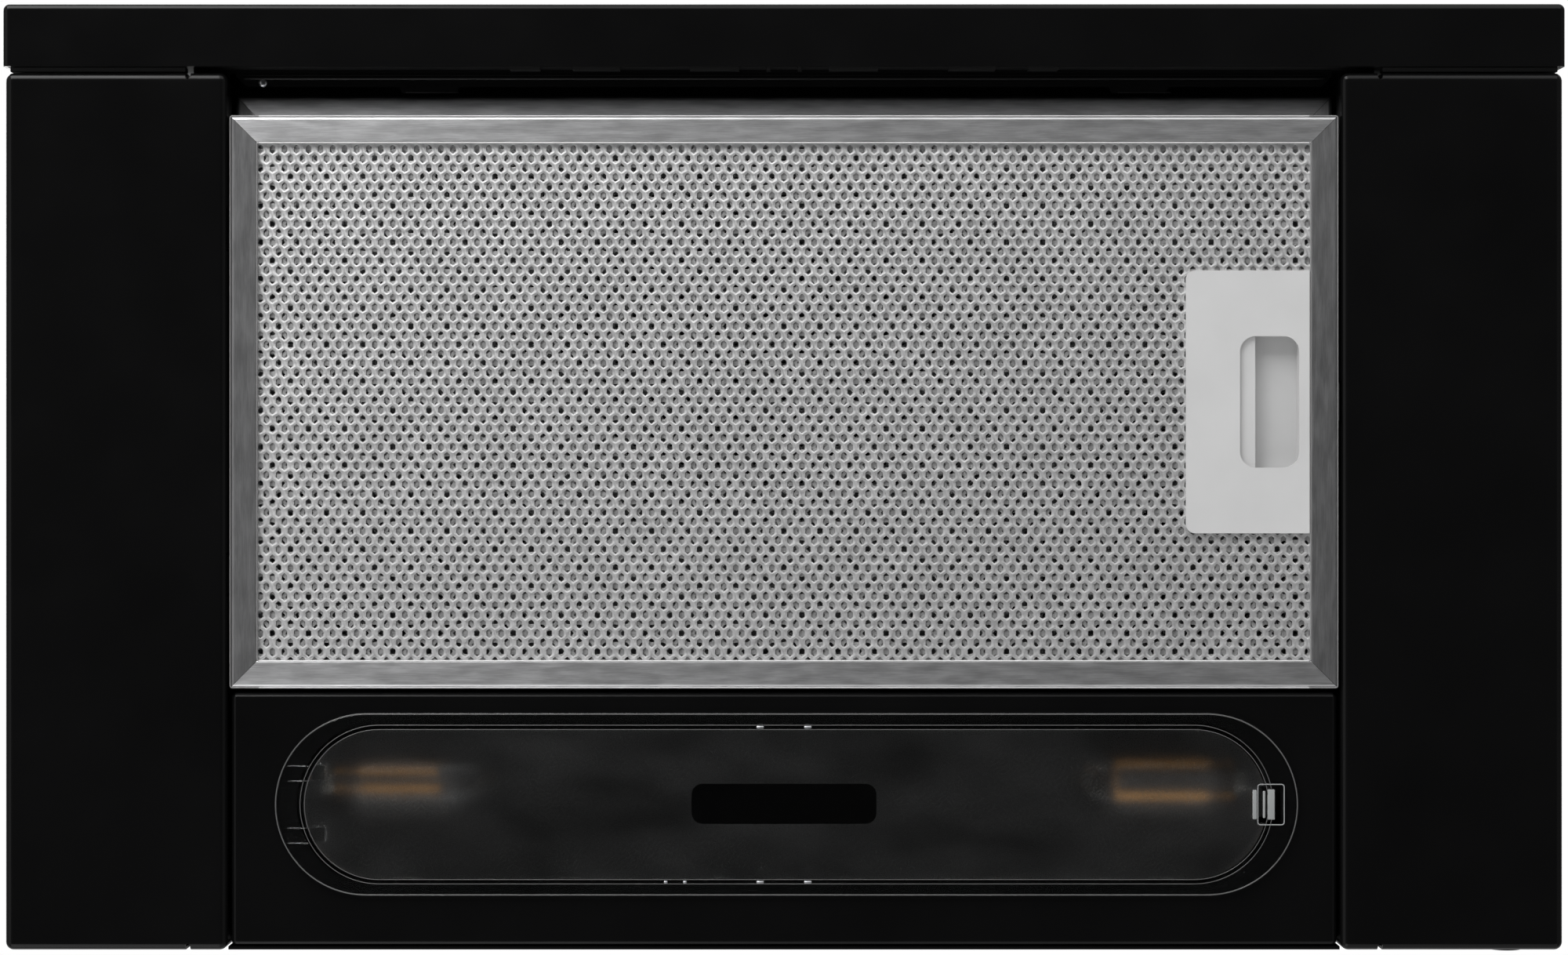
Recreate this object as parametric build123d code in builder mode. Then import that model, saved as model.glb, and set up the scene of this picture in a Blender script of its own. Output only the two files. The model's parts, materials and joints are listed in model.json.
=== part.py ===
from build123d import *
from math import acos, cos, degrees, radians, sin
import os

# Telescopic built-in cooker hood, 500 mm class, with its drawer closed.
# Millimetres. The underside lies on z = 0, the front faces -Y and the latch side is +X.

os.makedirs("parts", exist_ok=True)

# Overall sizes
FRONT_WIDTH = 498.0
HOOD_DEPTH = 302.0
FRONT_DEPTH = 20.0
FRONT_HEIGHT = 45.0
FRONT_GAP = 2.0
BODY_WIDTH = 496.4
SLAB_TOP = 60.0
HOUSING_TOP = 170.0
COLLAR_TOP = 205.0
SHEET = 1.0
FOLD = 2.5
SPACER_THICKNESS = 0.4

# Front to rear
FRONT_Y = -HOOD_DEPTH / 2
PANEL_BACK = FRONT_Y + FRONT_DEPTH
BODY_FRONT = PANEL_BACK + FRONT_GAP
BODY_REAR = HOOD_DEPTH / 2 - SPACER_THICKNESS
BODY_HALF = BODY_WIDTH / 2

# Side panels
LIP_X = 177.5
LIP_TOP = 11.0
RELIEF_X = 190.0
RELIEF_R = 0.8
RAIL_GATE_X = 214.0
CABINET_HOLE_R = 2.25
CABINET_HOLE_SPACING = 200.0
CABINET_HOLE_Y = 10.0
CABINET_HOLE_Z = 40.0
TAB_SLOT_DEPTH = 4.5

# Grease filters
FRAME_WIDTH = 9.0
FRAME_SHEET = 1.2
FILTER_HEIGHT = 8.5
FILTER_ROUND = 1.5
FILTER_LIP_ROUND = 0.8
FILTER_DEPTH = 182.6
MAIN_FILTER_HALF = 176.7
MAIN_FILTER_FRONT = -115.4
MAIN_FILTER_Z = 0.5
DRAWER_FILTER_HALF = 176.8
DRAWER_FILTER_FRONT = -123.0
DRAWER_FILTER_Z = 14.5
MESH_STRAND = 1.6
LATCH_WINDOW = 28.0
TAB_SPACING = 110.0
TAB_WIDTH = 12.0
TAB_REACH = 4.2
TAB_LIFT = 1.1
TAB_THICKNESS = 1.0
TAB_SLOT_HEIGHT = 4.1

# Handle and latch of a filter
HANDLE_WIDTH = 39.4
HANDLE_PLAY = 0.2
HANDLE_MARGIN = 3.3
HANDLE_LENGTH = 83.8
HANDLE_THICKNESS = 1.2
HANDLE_ROUND = 3.0
POCKET_WIDTH = 18.9
POCKET_LENGTH = 41.9
POCKET_ROUND = 5.0
POCKET_WALL = 1.0
POCKET_TOP = 8.0
FINGER_STRIP = 5.0
LATCH_THICKNESS = 1.2
LATCH_LIFT = 1.4
LATCH_ARM = 3.4
BOLT_WIDTH = 12.0
BOLT_REACH = 0.5

# Lamp compartment
LAMP_PANEL_HALF = 176.5
LAMP_PANEL_FRONT = 68.5
LAMP_PANEL_Z = 2.0
LAMP_FLANGE_TOP = 14.0
COVER_X = 0.8
COVER_Y = 104.2
COVER_Z = 0.3
COVER_LENGTH = 326.2
COVER_WIDTH = 58.2
COVER_THICKNESS = 1.5
SKIRT_X = 0.3
SKIRT_LENGTH = 310.0
SKIRT_WIDTH = 50.6
SKIRT_WALL = 1.5
SKIRT_TOP = 9.5
SKIRT_GAP = 0.8
SKIRT_NOTCH = 7.5
NOTCH_XS = (-120.5, -69.0, -20.7, 20.7, 69.0, 120.5)
CLIP_WIDTH = 9.5
CLIP_X = (149.3, 156.4)
CLIP_WINDOW_X = (150.8, 159.2)
CLIP_GATE_X = (140.0, 158.5)
WINDOW_LENGTH = 59.0
WINDOW_WIDTH = 12.9
WINDOW_ROUND = 4.7
WINDOW_DEPTH = 0.15
CATCH_WIDTH = 5.2
CATCH_REACH = 0.5
CATCH_Z = (4.0, 7.0)
CATCH_RIB_X = 7.4
CATCH_RIB = (1.2, 3.0)
PULL_HALF = 15.4
PULL_WIDTH = 4.2
PULL_DEPTH = 0.6
END_RIB_Y = (7.5, 12.3)
END_RIB_X = (-151.4, -146.5)
LAMP_HOUSING_HALF = 172.0
LAMP_HOUSING_Y = (74.0, 147.0)
LAMP_HOUSING_TOP = 50.0
LAMP_Y = 98.5
LAMP_Z = 27.0
LAMP_R = 12.5
LAMP_NECK_R = 7.0
LAMP_TIP_X = 92.0
LAMP_CAP_X = 146.0
HOLDER_R = 13.5
LAMP_WALL = 0.7
HOLDER_X = 149.0
HOLDER_END = 171.0
FILAMENT_X = 108.0
FILAMENT_LENGTH = 30.0
FILAMENT_SPREAD = 5.2
FILAMENT_SECTION = (2.2, 1.2)
FILAMENT_WIRE = 0.5
FILAMENT_TURN_LEFT = 52.0
FILAMENT_TURN_RIGHT = 0.0

# Drawer tray and rails
TRAY_WALL_X = 178.2
TRAY_SIDE_X = 190.0
TRAY_BOTTOM = 12.6
TRAY_TOP = 31.0
TRAY_PLATE_REAR = 22.0
TRAY_REAR = 66.0
TRAY_FRONT_HALF = 176.2
TRAY_FLANGE_Z = 11.0
TRAY_FLANGE_DEPTH = 5.5
TRAY_FLANGE_CUT = 3.5
TRAY_TAB_X = 114.0
TRAY_TAB_LENGTH = 19.5
TRAY_TAB_DEPTH = 1.8
TRAY_WEB = 5.0
RAIL_Z = (14.0, 29.0)
RAIL_DEPTH = 7.0
RAIL_REAR = 95.0
FIXED_RAIL_X = (193.0, 203.0)
FIXED_RAIL_Y = (-122.0, 128.0)
FIXED_RAIL_Z = (10.5, 32.5)
RAIL_START = PANEL_BACK + 4.0
BRACKET_SPANS = ((-100.0, -75.0), (75.0, 100.0))
BRACKET_SHEET = 1.5
BRACKET_FOOT = 14.0
BRACKET_BOTTOM = 16.0
GLIDE_LENGTH = 15.0
GLIDE_PLAY = 0.2

# Drawer switch
SWITCH_FRONT = 99.0
SWITCH_LENGTH = 20.0
SWITCH_Z = (15.0, 28.0)
SWITCH_X = -196.5
SWITCH_INNER_X = -191.0
PLUNGER_R = 1.5
PLUNGER_LENGTH = 7.6
PLUNGER_REACH = 3.6

# Front panel carrier and clips
PANEL_SHEET = 1.2
CARRIER_SHEET = 2.0
CARRIER_HALF = 247.6
CARRIER_Z = (1.4, 34.6)
POST_SPACING = 140.0
POST_Z = 22.0
POST_R = 7.0
POST_BORE_R = 4.0
CLIP_SPANS = ((4.4, 5.6), (14.4, 30.0), (52.5, 67.5), (78.0, 87.5))

# Controls behind the front panel
CONTROL_Z = 39.5
CONTROL_HALF = 60.0
SPEED_KNOB_X = -42.0
SPEED_TRAVEL = 24.0
LIGHT_KNOB_X = 20.0
LIGHT_TRAVEL = 12.0
KNOB_WIDTH = 10.0
KNOB_HEIGHT = 5.0
KNOB_DEPTH = 5.0
KNOB_PLAY = 1.4
STEM_WIDTH = 4.0
STEM_HEIGHT = 3.0
STEM_LENGTH = 5.4
FASCIA_THICKNESS = 1.2
FASCIA_HEIGHT = 12.0
FASCIA_MARGIN = 7.0
SWITCH_BLOCK_Z = (34.0, 46.0)
SWITCH_BLOCK_DEPTH = (4.5, 20.0)

# Rear spacer
SPACER_X = 231.0
SPACER_Z = 8.0
SPACER_R = 5.2

# Fan
FAN_Y = 0.0
FAN_Z = 108.0
SCROLL_HALF = 50.0
SCROLL_START_R = 54.0
SCROLL_END_R = 72.0
THROAT_FRONT = 14.0
INLET_R = 41.0
IMPELLER_R = 50.0
IMPELLER_HALF = 44.0
BLADE_COUNT = 32
BLADE_INNER_R = 41.4
BLADE_TIP_R = 49.0
BLADE_RISE = 4.8
BLADE_CURVE_R = 10.0
BLADE_THICKNESS = 0.9
DISC_THICKNESS = 2.0
HUB_R = 9.0
HUB_START = -15.0
SHAFT_R = 4.0
RUNNING_GAP = 0.05
MOTOR_R = 28.0
MOTOR_X = (10.0, 55.0)
MOTOR_BOSS_R = 10.0
MOTOR_BOSS_LENGTH = 8.0
MOTOR_STEP = 4.0
BRACKET_ARM_R = 51.0
BRACKET_ARM_WIDTH = 9.0
BRACKET_HUB_R = 18.0
BRACKET_THICKNESS = 2.0
GROMMET_R = 4.5
FOOT_R = 4.0
FOOT_HEIGHT = 3.5

# Motor housing, collar and flaps
HOUSING_HALF = 160.0
HOUSING_FRONT = -90.0
HOUSING_REAR = 140.0
HOUSING_ROUND = 8.0
HOUSING_FOOT = 9.0
HOUSING_UPSTAND = 8.0
ROOF_MARGIN = 10.0
COLLAR_Y = 43.0
COLLAR_R = 59.75
COLLAR_WALL = 1.5
COLLAR_FLANGE = 7.0
LEDGE_Z = 175.5
LEDGE_THICKNESS = 1.3
FLAP_R = 56.0
FLAP_THICKNESS = 1.1
FLAP_PIN_R = 1.5
FLAP_PIN_Z = 178.6
KNUCKLE_R = 2.7
KNUCKLE_LENGTH = 20.0
PIN_HALF = COLLAR_R - 0.65

# Capacitor, terminal box and gland
CAPACITOR_X = -110.0
CAPACITOR_Y = (-60.0, -5.0)
CAPACITOR_Z = 148.0
CAPACITOR_R = 14.0
CLAMP_Y = (-42.0, -28.0)
CLAMP_SHEET = 1.2
CLAMP_HALF = 12.0
BOX_X = (-238.0, -184.0)
BOX_Y = (64.0, 124.0)
BOX_TOP = 88.0
BOX_WALL = 1.8
BOX_ROUND = 3.0
LID_THICKNESS = 2.0
LID_RIM = (25.5, 28.0)
GLAND_Z = 74.0
GLAND_SEAT_R = 6.0
GLAND_NUT_R = 10.0
GLAND_NUT_LENGTH = 5.0
GLAND_CAP_R = 7.5
GLAND_CAP_LENGTH = 8.0
GLAND_BORE_R = 4.2

SIDES = {"left": -1, "right": 1}
FAN_PLANE = Plane(origin=(0, FAN_Y, FAN_Z), x_dir=(0, 1, 0), z_dir=(1, 0, 0))
PIN_PLANE = Plane(origin=(0, COLLAR_Y, FLAP_PIN_Z), x_dir=(0, 1, 0), z_dir=(1, 0, 0))
SWITCH_PLANE = Plane(
    origin=(SWITCH_X, SWITCH_FRONT, sum(SWITCH_Z) / 2), x_dir=(1, 0, 0), z_dir=(0, 1, 0)
)


def save(piece, name):
    """Label a finished piece and write it as its own STEP file."""
    piece.part.label = name
    export_step(piece.part, f"parts/{name}.step")


def rectangle_between(x_span, y_span, mode=Mode.ADD):
    """Rectangle of a sketch between two corners."""
    with Locations(((x_span[0] + x_span[1]) / 2, (y_span[0] + y_span[1]) / 2)):
        Rectangle(abs(x_span[1] - x_span[0]), abs(y_span[1] - y_span[0]), mode=mode)


def block(x_span, y_span, z_span, mode=Mode.ADD):
    """Straight-sided lump or cut between two corners."""
    spans = (x_span, y_span, z_span)
    with Locations(tuple(sum(span) / 2 for span in spans)):
        Box(*(abs(span[1] - span[0]) for span in spans), mode=mode)


def side_panel(side):
    """Folded tray that closes one side of the underside, with a low lip beside the filter."""
    filter_mid = MAIN_FILTER_FRONT + FILTER_DEPTH / 2
    with BuildPart() as wing:
        with BuildSketch():
            rectangle_between((side * LIP_X, side * BODY_HALF), (BODY_FRONT, BODY_REAR))
        extrude(amount=SLAB_TOP - SHEET)
        fillet(wing.edges().filter_by(Axis.Z), FOLD)
        fillet(wing.faces().sort_by(Axis.Z)[0].edges(), FOLD)
        offset(amount=-SHEET, openings=wing.faces().sort_by(Axis.Z)[-1])
        with BuildSketch(Plane.XY.offset(LIP_TOP)):
            rectangle_between(
                (side * (LIP_X - 1), side * (LIP_X + FOLD + 0.5)), (BODY_FRONT - 1, BODY_REAR - FOLD)
            )
            rectangle_between(
                (side * (LIP_X - 1), side * RAIL_GATE_X), (BODY_FRONT - 1, BODY_FRONT + FOLD + 0.5)
            )
        extrude(amount=SLAB_TOP, mode=Mode.SUBTRACT)
        with BuildSketch():
            with Locations((side * RELIEF_X, BODY_FRONT), (side * RELIEF_X, BODY_REAR)):
                SlotOverall(4 * SHEET, 2 * RELIEF_R, rotation=90)
        extrude(amount=LIP_TOP + SHEET, mode=Mode.SUBTRACT)
        with BuildSketch(Plane.YZ.offset(side * BODY_HALF)):
            with Locations((CABINET_HOLE_Y, CABINET_HOLE_Z)):
                with GridLocations(CABINET_HOLE_SPACING, 1, 2, 1):
                    Circle(CABINET_HOLE_R)
        extrude(amount=-side * 2 * SHEET, mode=Mode.SUBTRACT)
        if side < 0:
            slot_mids = (filter_mid - TAB_SPACING / 2, filter_mid + TAB_SPACING / 2)
        else:
            slot_mids = (filter_mid,)
        for slot_mid in slot_mids:
            block(
                (side * (LIP_X - 1), side * (LIP_X + TAB_SLOT_DEPTH)),
                (slot_mid - TAB_WIDTH / 2 - 1, slot_mid + TAB_WIDTH / 2 + 1),
                (MAIN_FILTER_Z + 0.8, MAIN_FILTER_Z + 0.8 + TAB_SLOT_HEIGHT),
                mode=Mode.SUBTRACT,
            )
    return wing


for side_name, side in SIDES.items():
    save(side_panel(side), f"{side_name}_side_panel")


# Slab shell: roof, front wall and rear wall of the flat body
with BuildPart() as slab_shell:
    with BuildSketch(Plane.XY.offset(SLAB_TOP - SHEET)):
        rectangle_between((-BODY_HALF, BODY_HALF), (BODY_FRONT, BODY_REAR))
        rectangle_between(
            (ROOF_MARGIN - HOUSING_HALF, HOUSING_HALF - ROOF_MARGIN),
            (HOUSING_FRONT + ROOF_MARGIN, HOUSING_REAR - ROOF_MARGIN),
            mode=Mode.SUBTRACT,
        )
    extrude(amount=SHEET)
    block(
        (0.4 - RAIL_GATE_X, RAIL_GATE_X - 0.4),
        (BODY_FRONT, BODY_FRONT + SHEET),
        (FIXED_RAIL_Z[1], SLAB_TOP - SHEET),
    )
    block((0.2 - LIP_X, LIP_X - 0.2), (BODY_REAR - SHEET, BODY_REAR), (2.2, SLAB_TOP - SHEET))
    with BuildSketch(Plane.XZ.offset(-BODY_FRONT)):
        rectangle_between((-CONTROL_HALF, CONTROL_HALF), (CONTROL_Z - 4, CONTROL_Z + 4))
    extrude(amount=-3 * SHEET, mode=Mode.SUBTRACT)
save(slab_shell, "slab_shell")


# Motor housing: deep-drawn box on the slab, with the outlet hole
with BuildPart() as motor_housing:
    with BuildSketch(Plane.XY.offset(SLAB_TOP)):
        rectangle_between((-HOUSING_HALF, HOUSING_HALF), (HOUSING_FRONT, HOUSING_REAR))
    extrude(amount=HOUSING_TOP - SLAB_TOP)
    fillet(motor_housing.edges().filter_by(Axis.Z), HOUSING_ROUND)
    fillet(motor_housing.faces().sort_by(Axis.Z)[-1].edges(), 3)
    offset(amount=-SHEET, openings=motor_housing.faces().sort_by(Axis.Z)[0])
    with BuildSketch(Plane.XY.offset(HOUSING_TOP - 2 * SHEET)):
        with Locations((0, COLLAR_Y)):
            Circle(COLLAR_R - COLLAR_WALL)
    extrude(amount=3 * SHEET, mode=Mode.SUBTRACT)
save(motor_housing, "motor_housing")


def housing_outline(grow, mode=Mode.ADD):
    """Outline of the motor housing, grown outwards."""
    with Locations((0, (HOUSING_FRONT + HOUSING_REAR) / 2)):
        RectangleRounded(
            2 * (HOUSING_HALF + grow),
            HOUSING_REAR - HOUSING_FRONT + 2 * grow,
            HOUSING_ROUND + grow,
            mode=mode,
        )


# Housing frame: angle ring round the motor housing, screwed down on the slab roof
with BuildPart() as housing_frame:
    for grow, height in ((HOUSING_FOOT, SHEET), (SHEET, HOUSING_UPSTAND)):
        with BuildSketch(Plane.XY.offset(SLAB_TOP)):
            housing_outline(grow)
            housing_outline(0, mode=Mode.SUBTRACT)
        extrude(amount=height)
save(housing_frame, "housing_frame")


# Duct collar with the ledge that the flaps close on
with BuildPart() as duct_collar:
    with BuildSketch(Plane.XZ.offset(-COLLAR_Y)):
        rectangle_between(
            (COLLAR_R - COLLAR_WALL, COLLAR_R + COLLAR_FLANGE), (HOUSING_TOP, HOUSING_TOP + COLLAR_WALL)
        )
        rectangle_between((COLLAR_R - COLLAR_WALL, COLLAR_R), (HOUSING_TOP, COLLAR_TOP))
        rectangle_between((FLAP_R - 1.5, COLLAR_R - 0.5), (LEDGE_Z - LEDGE_THICKNESS, LEDGE_Z))
    revolve(axis=Axis((0, COLLAR_Y, 0), (0, 0, 1)))
    chamfer(duct_collar.edges().filter_by(GeomType.CIRCLE).sort_by(Axis.Z)[-2:], 0.4)
    with BuildSketch(PIN_PLANE.offset(-PIN_HALF)):
        Circle(FLAP_PIN_R)
    extrude(amount=2 * PIN_HALF, mode=Mode.SUBTRACT)
save(duct_collar, "duct_collar")

with BuildPart() as flap_pin:
    with BuildSketch(PIN_PLANE.offset(-PIN_HALF)):
        Circle(FLAP_PIN_R)
    extrude(amount=2 * PIN_HALF)
save(flap_pin, "flap_pin")


def flap(side, knuckle_starts):
    """Half-round non-return flap; side is -1 for the front one. Its knuckles turn on the pin."""
    with BuildPart() as leaf:
        with BuildSketch(Plane.XY.offset(FLAP_PIN_Z - KNUCKLE_R)):
            with Locations((0, COLLAR_Y)):
                Circle(FLAP_R)
            rectangle_between(
                (-2 * FLAP_R, 2 * FLAP_R),
                (COLLAR_Y + side * (KNUCKLE_R + 0.5), COLLAR_Y - side * 2 * FLAP_R),
                mode=Mode.SUBTRACT,
            )
            for start in knuckle_starts:
                rectangle_between(
                    (start, start + KNUCKLE_LENGTH), (COLLAR_Y, COLLAR_Y + side * (KNUCKLE_R + 1))
                )
        extrude(amount=FLAP_THICKNESS)
        for start in knuckle_starts:
            with BuildSketch(PIN_PLANE.offset(start)):
                Circle(KNUCKLE_R)
                Circle(FLAP_PIN_R + RUNNING_GAP, mode=Mode.SUBTRACT)
            extrude(amount=KNUCKLE_LENGTH)
    return leaf


save(flap(-1, (-50, 4)), "front_flap")
save(flap(1, (-24, 30)), "rear_flap")


def scroll_outline(clear):
    """Face of the fan casing's spiral and outlet throat, grown outwards by clear."""
    start_angle = degrees(acos((THROAT_FRONT - clear) / (SCROLL_START_R + clear)))
    growth = (SCROLL_END_R - SCROLL_START_R) / (360 - start_angle)
    steps = 8
    points = []
    for step in range(steps + 1):
        angle = start_angle + (360 - start_angle) * step / steps
        radius = SCROLL_START_R + clear + growth * (angle - start_angle)
        points.append((radius * cos(radians(angle)), radius * sin(radians(angle))))
    throat_top = HOUSING_TOP - SHEET - FAN_Z
    with BuildLine() as outline:
        spiral = Spline(*points)
        Polyline(
            spiral @ 1,
            (SCROLL_END_R + clear, throat_top),
            (THROAT_FRONT - clear, throat_top),
            spiral @ 0,
        )
    make_face(outline.edges())


# Fan scroll: spiral casing, open at its throat and round both inlets
with BuildPart() as fan_scroll:
    with BuildSketch(FAN_PLANE.offset(-SCROLL_HALF)):
        scroll_outline(SHEET)
    extrude(amount=2 * SCROLL_HALF)
    with BuildSketch(FAN_PLANE.offset(SHEET - SCROLL_HALF)):
        scroll_outline(0)
    extrude(amount=2 * (SCROLL_HALF - SHEET), mode=Mode.SUBTRACT)
    with BuildSketch(FAN_PLANE.offset(-SCROLL_HALF)):
        Circle(INLET_R + 2.5)
    extrude(amount=2 * SCROLL_HALF, mode=Mode.SUBTRACT)
save(fan_scroll, "fan_scroll")


def inlet_ring(side):
    """Bell mouth that guides the air into one eye of the impeller."""
    throat = FAN_Z + INLET_R - 1.1
    tube_start = side * (SCROLL_HALF - 4)
    tube_end = side * (SCROLL_HALF - 2)
    face = side * (SCROLL_HALF + 1)
    back = side * SCROLL_HALF
    with BuildPart() as ring:
        with BuildSketch(Plane.XZ.offset(-FAN_Y)):
            with BuildLine():
                Line((tube_start, throat), (tube_end, throat))
                ThreePointArc(
                    (tube_end, throat),
                    (tube_end + side * 3 * sin(radians(45)), throat + 3 - 3 * cos(radians(45))),
                    (face, throat + 3),
                )
                Polyline((face, throat + 3), (face, throat + 6), (back, throat + 6), (back, throat + 3))
                ThreePointArc(
                    (back, throat + 3),
                    (tube_end + side * 2 * sin(radians(45)), throat + 3 - 2 * cos(radians(45))),
                    (tube_end, throat + 1),
                )
                Polyline((tube_end, throat + 1), (tube_start, throat + 1), (tube_start, throat))
            make_face()
        revolve(axis=Axis((0, FAN_Y, FAN_Z), (1, 0, 0)))
    return ring


for side_name, side in SIDES.items():
    save(inlet_ring(side), f"{side_name}_inlet_ring")


# One forward-curved blade, seen along the shaft
with BuildSketch() as blade_section:
    with BuildLine() as blade_line:
        RadiusArc((BLADE_INNER_R, 0), (BLADE_TIP_R, BLADE_RISE), -BLADE_CURVE_R)
    trace(blade_line.edges(), line_width=BLADE_THICKNESS)

# Impeller: drum of blades between two rings, on a centre disc with a hub
with BuildPart() as fan_impeller:
    with BuildSketch(FAN_PLANE.offset(DISC_THICKNESS / 2 - IMPELLER_HALF)):
        with PolarLocations(0, BLADE_COUNT):
            add(blade_section.sketch)
    extrude(amount=2 * IMPELLER_HALF - DISC_THICKNESS)
    for ring_x in (-IMPELLER_HALF, IMPELLER_HALF - DISC_THICKNESS):
        with BuildSketch(FAN_PLANE.offset(ring_x)):
            Circle(IMPELLER_R)
            Circle(INLET_R, mode=Mode.SUBTRACT)
        extrude(amount=DISC_THICKNESS)
    with BuildSketch(FAN_PLANE.offset(-DISC_THICKNESS / 2)):
        Circle(IMPELLER_R)
    extrude(amount=DISC_THICKNESS)
    with BuildSketch(FAN_PLANE.offset(HUB_START)):
        Circle(HUB_R)
    extrude(amount=-HUB_START)
    with BuildSketch(FAN_PLANE.offset(HUB_START)):
        Circle(SHAFT_R)
    extrude(amount=DISC_THICKNESS - HUB_START, mode=Mode.SUBTRACT)
save(fan_impeller, "fan_impeller")

with BuildPart() as motor_shaft:
    with BuildSketch(FAN_PLANE.offset(HUB_START)):
        Circle(SHAFT_R)
    extrude(amount=MOTOR_X[1] - HUB_START + 1)
    chamfer(motor_shaft.edges().filter_by(GeomType.CIRCLE), 0.4)
save(motor_shaft, "motor_shaft")

# Motor: can with a bearing boss, bored for its shaft
with BuildPart() as fan_motor:
    with BuildSketch(FAN_PLANE.offset(MOTOR_X[0] + MOTOR_STEP)):
        Circle(MOTOR_R)
    extrude(amount=MOTOR_X[1] - MOTOR_X[0] - MOTOR_STEP)
    fillet(fan_motor.edges().filter_by(GeomType.CIRCLE).sort_by(Axis.X)[0], 4)
    with BuildSketch(FAN_PLANE.offset(MOTOR_X[0])):
        Circle(MOTOR_BOSS_R)
    extrude(amount=MOTOR_BOSS_LENGTH)
    with BuildSketch(FAN_PLANE.offset(MOTOR_X[0])):
        Circle(SHAFT_R + RUNNING_GAP)
    extrude(amount=MOTOR_X[1] - MOTOR_X[0], mode=Mode.SUBTRACT)
save(fan_motor, "fan_motor")

# Motor bracket: three arms and feet across the right inlet
with BuildPart() as motor_bracket:
    with BuildSketch(FAN_PLANE.offset(MOTOR_X[1])):
        Circle(BRACKET_HUB_R)
        with PolarLocations(BRACKET_ARM_R / 2, 3, start_angle=90):
            Rectangle(BRACKET_ARM_R, BRACKET_ARM_WIDTH)
        with PolarLocations(BRACKET_ARM_R, 3, start_angle=90):
            Circle(BRACKET_ARM_WIDTH / 2)
        Circle(SHAFT_R + 1, mode=Mode.SUBTRACT)
    extrude(amount=BRACKET_THICKNESS)
    with BuildSketch(FAN_PLANE.offset(MOTOR_X[1] - FOOT_HEIGHT)):
        with PolarLocations(BRACKET_ARM_R, 3, start_angle=90):
            Circle(FOOT_R)
    extrude(amount=FOOT_HEIGHT)
save(motor_bracket, "motor_bracket")

with BuildPart() as motor_grommets:
    with BuildSketch(FAN_PLANE.offset(SCROLL_HALF)):
        with PolarLocations(BRACKET_ARM_R, 3, start_angle=90):
            Circle(GROMMET_R)
    extrude(amount=MOTOR_X[1] - FOOT_HEIGHT - SCROLL_HALF)
save(motor_grommets, "motor_grommets")

# Motor capacitor, held under the housing roof by its clamp
with BuildPart() as capacitor:
    with BuildSketch(Plane.XZ.offset(-CAPACITOR_Y[0])):
        with Locations((CAPACITOR_X, CAPACITOR_Z)):
            Circle(CAPACITOR_R)
    extrude(amount=CAPACITOR_Y[0] - CAPACITOR_Y[1])
    fillet(capacitor.edges().filter_by(GeomType.CIRCLE).sort_by(Axis.Y)[-1], 3)
save(capacitor, "capacitor")

with BuildPart() as capacitor_clamp:
    with BuildSketch(Plane.XZ.offset(-CLAMP_Y[0])):
        with Locations((CAPACITOR_X, CAPACITOR_Z)):
            Circle(CAPACITOR_R + CLAMP_SHEET)
        rectangle_between(
            (CAPACITOR_X - CLAMP_HALF, CAPACITOR_X + CLAMP_HALF), (CAPACITOR_Z, HOUSING_TOP - SHEET)
        )
        with Locations((CAPACITOR_X, CAPACITOR_Z)):
            Circle(CAPACITOR_R, mode=Mode.SUBTRACT)
    extrude(amount=CLAMP_Y[0] - CLAMP_Y[1])
save(capacitor_clamp, "capacitor_clamp")


# Terminal box on the slab roof, with its lid and the gland of the supply lead
with BuildPart() as terminal_box:
    block(BOX_X, BOX_Y, (SLAB_TOP, BOX_TOP))
    fillet(terminal_box.edges().filter_by(Axis.Z), BOX_ROUND)
    offset(amount=-BOX_WALL, openings=terminal_box.faces().sort_by(Axis.Z)[-1])
    with BuildSketch(Plane.XZ.offset(-BOX_Y[1])):
        with Locations((sum(BOX_X) / 2, GLAND_Z)):
            Circle(GLAND_SEAT_R)
    extrude(amount=2 * BOX_WALL, mode=Mode.SUBTRACT)
save(terminal_box, "terminal_box")


def lid_rim(inset, mode=Mode.ADD):
    """Outline of the lid's rim at a distance inside the box's outer faces, as a lump or a cut."""
    block(
        (BOX_X[0] + inset, BOX_X[1] - inset),
        (BOX_Y[0] + inset, BOX_Y[1] - inset),
        (SLAB_TOP + LID_RIM[0], SLAB_TOP + LID_RIM[1]),
        mode=mode,
    )


with BuildPart() as terminal_box_lid:
    block(BOX_X, BOX_Y, (BOX_TOP, BOX_TOP + LID_THICKNESS))
    fillet(terminal_box_lid.edges().filter_by(Axis.Z), BOX_ROUND)
    fillet(terminal_box_lid.faces().sort_by(Axis.Z)[-1].edges(), 1)
    lid_rim(BOX_WALL + 0.4)
    lid_rim(BOX_WALL + 2, mode=Mode.SUBTRACT)
save(terminal_box_lid, "terminal_box_lid")

with BuildPart() as cable_gland:
    gland_plane = Plane(
        origin=(sum(BOX_X) / 2, BOX_Y[1] - BOX_WALL, GLAND_Z), x_dir=(1, 0, 0), z_dir=(0, 1, 0)
    )
    cap_start = BOX_WALL + GLAND_NUT_LENGTH
    with BuildSketch(gland_plane):
        Circle(GLAND_SEAT_R)
    extrude(amount=BOX_WALL)
    with BuildSketch(gland_plane.offset(BOX_WALL)):
        RegularPolygon(GLAND_NUT_R, 6)
    extrude(amount=GLAND_NUT_LENGTH)
    with BuildSketch(gland_plane.offset(cap_start)):
        Circle(GLAND_CAP_R)
    extrude(amount=GLAND_CAP_LENGTH)
    fillet(cable_gland.edges().filter_by(GeomType.CIRCLE).sort_by(Axis.Y)[-1], 2)
    with BuildSketch(gland_plane):
        Circle(GLAND_BORE_R)
    extrude(amount=cap_start + GLAND_CAP_LENGTH, mode=Mode.SUBTRACT)
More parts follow.
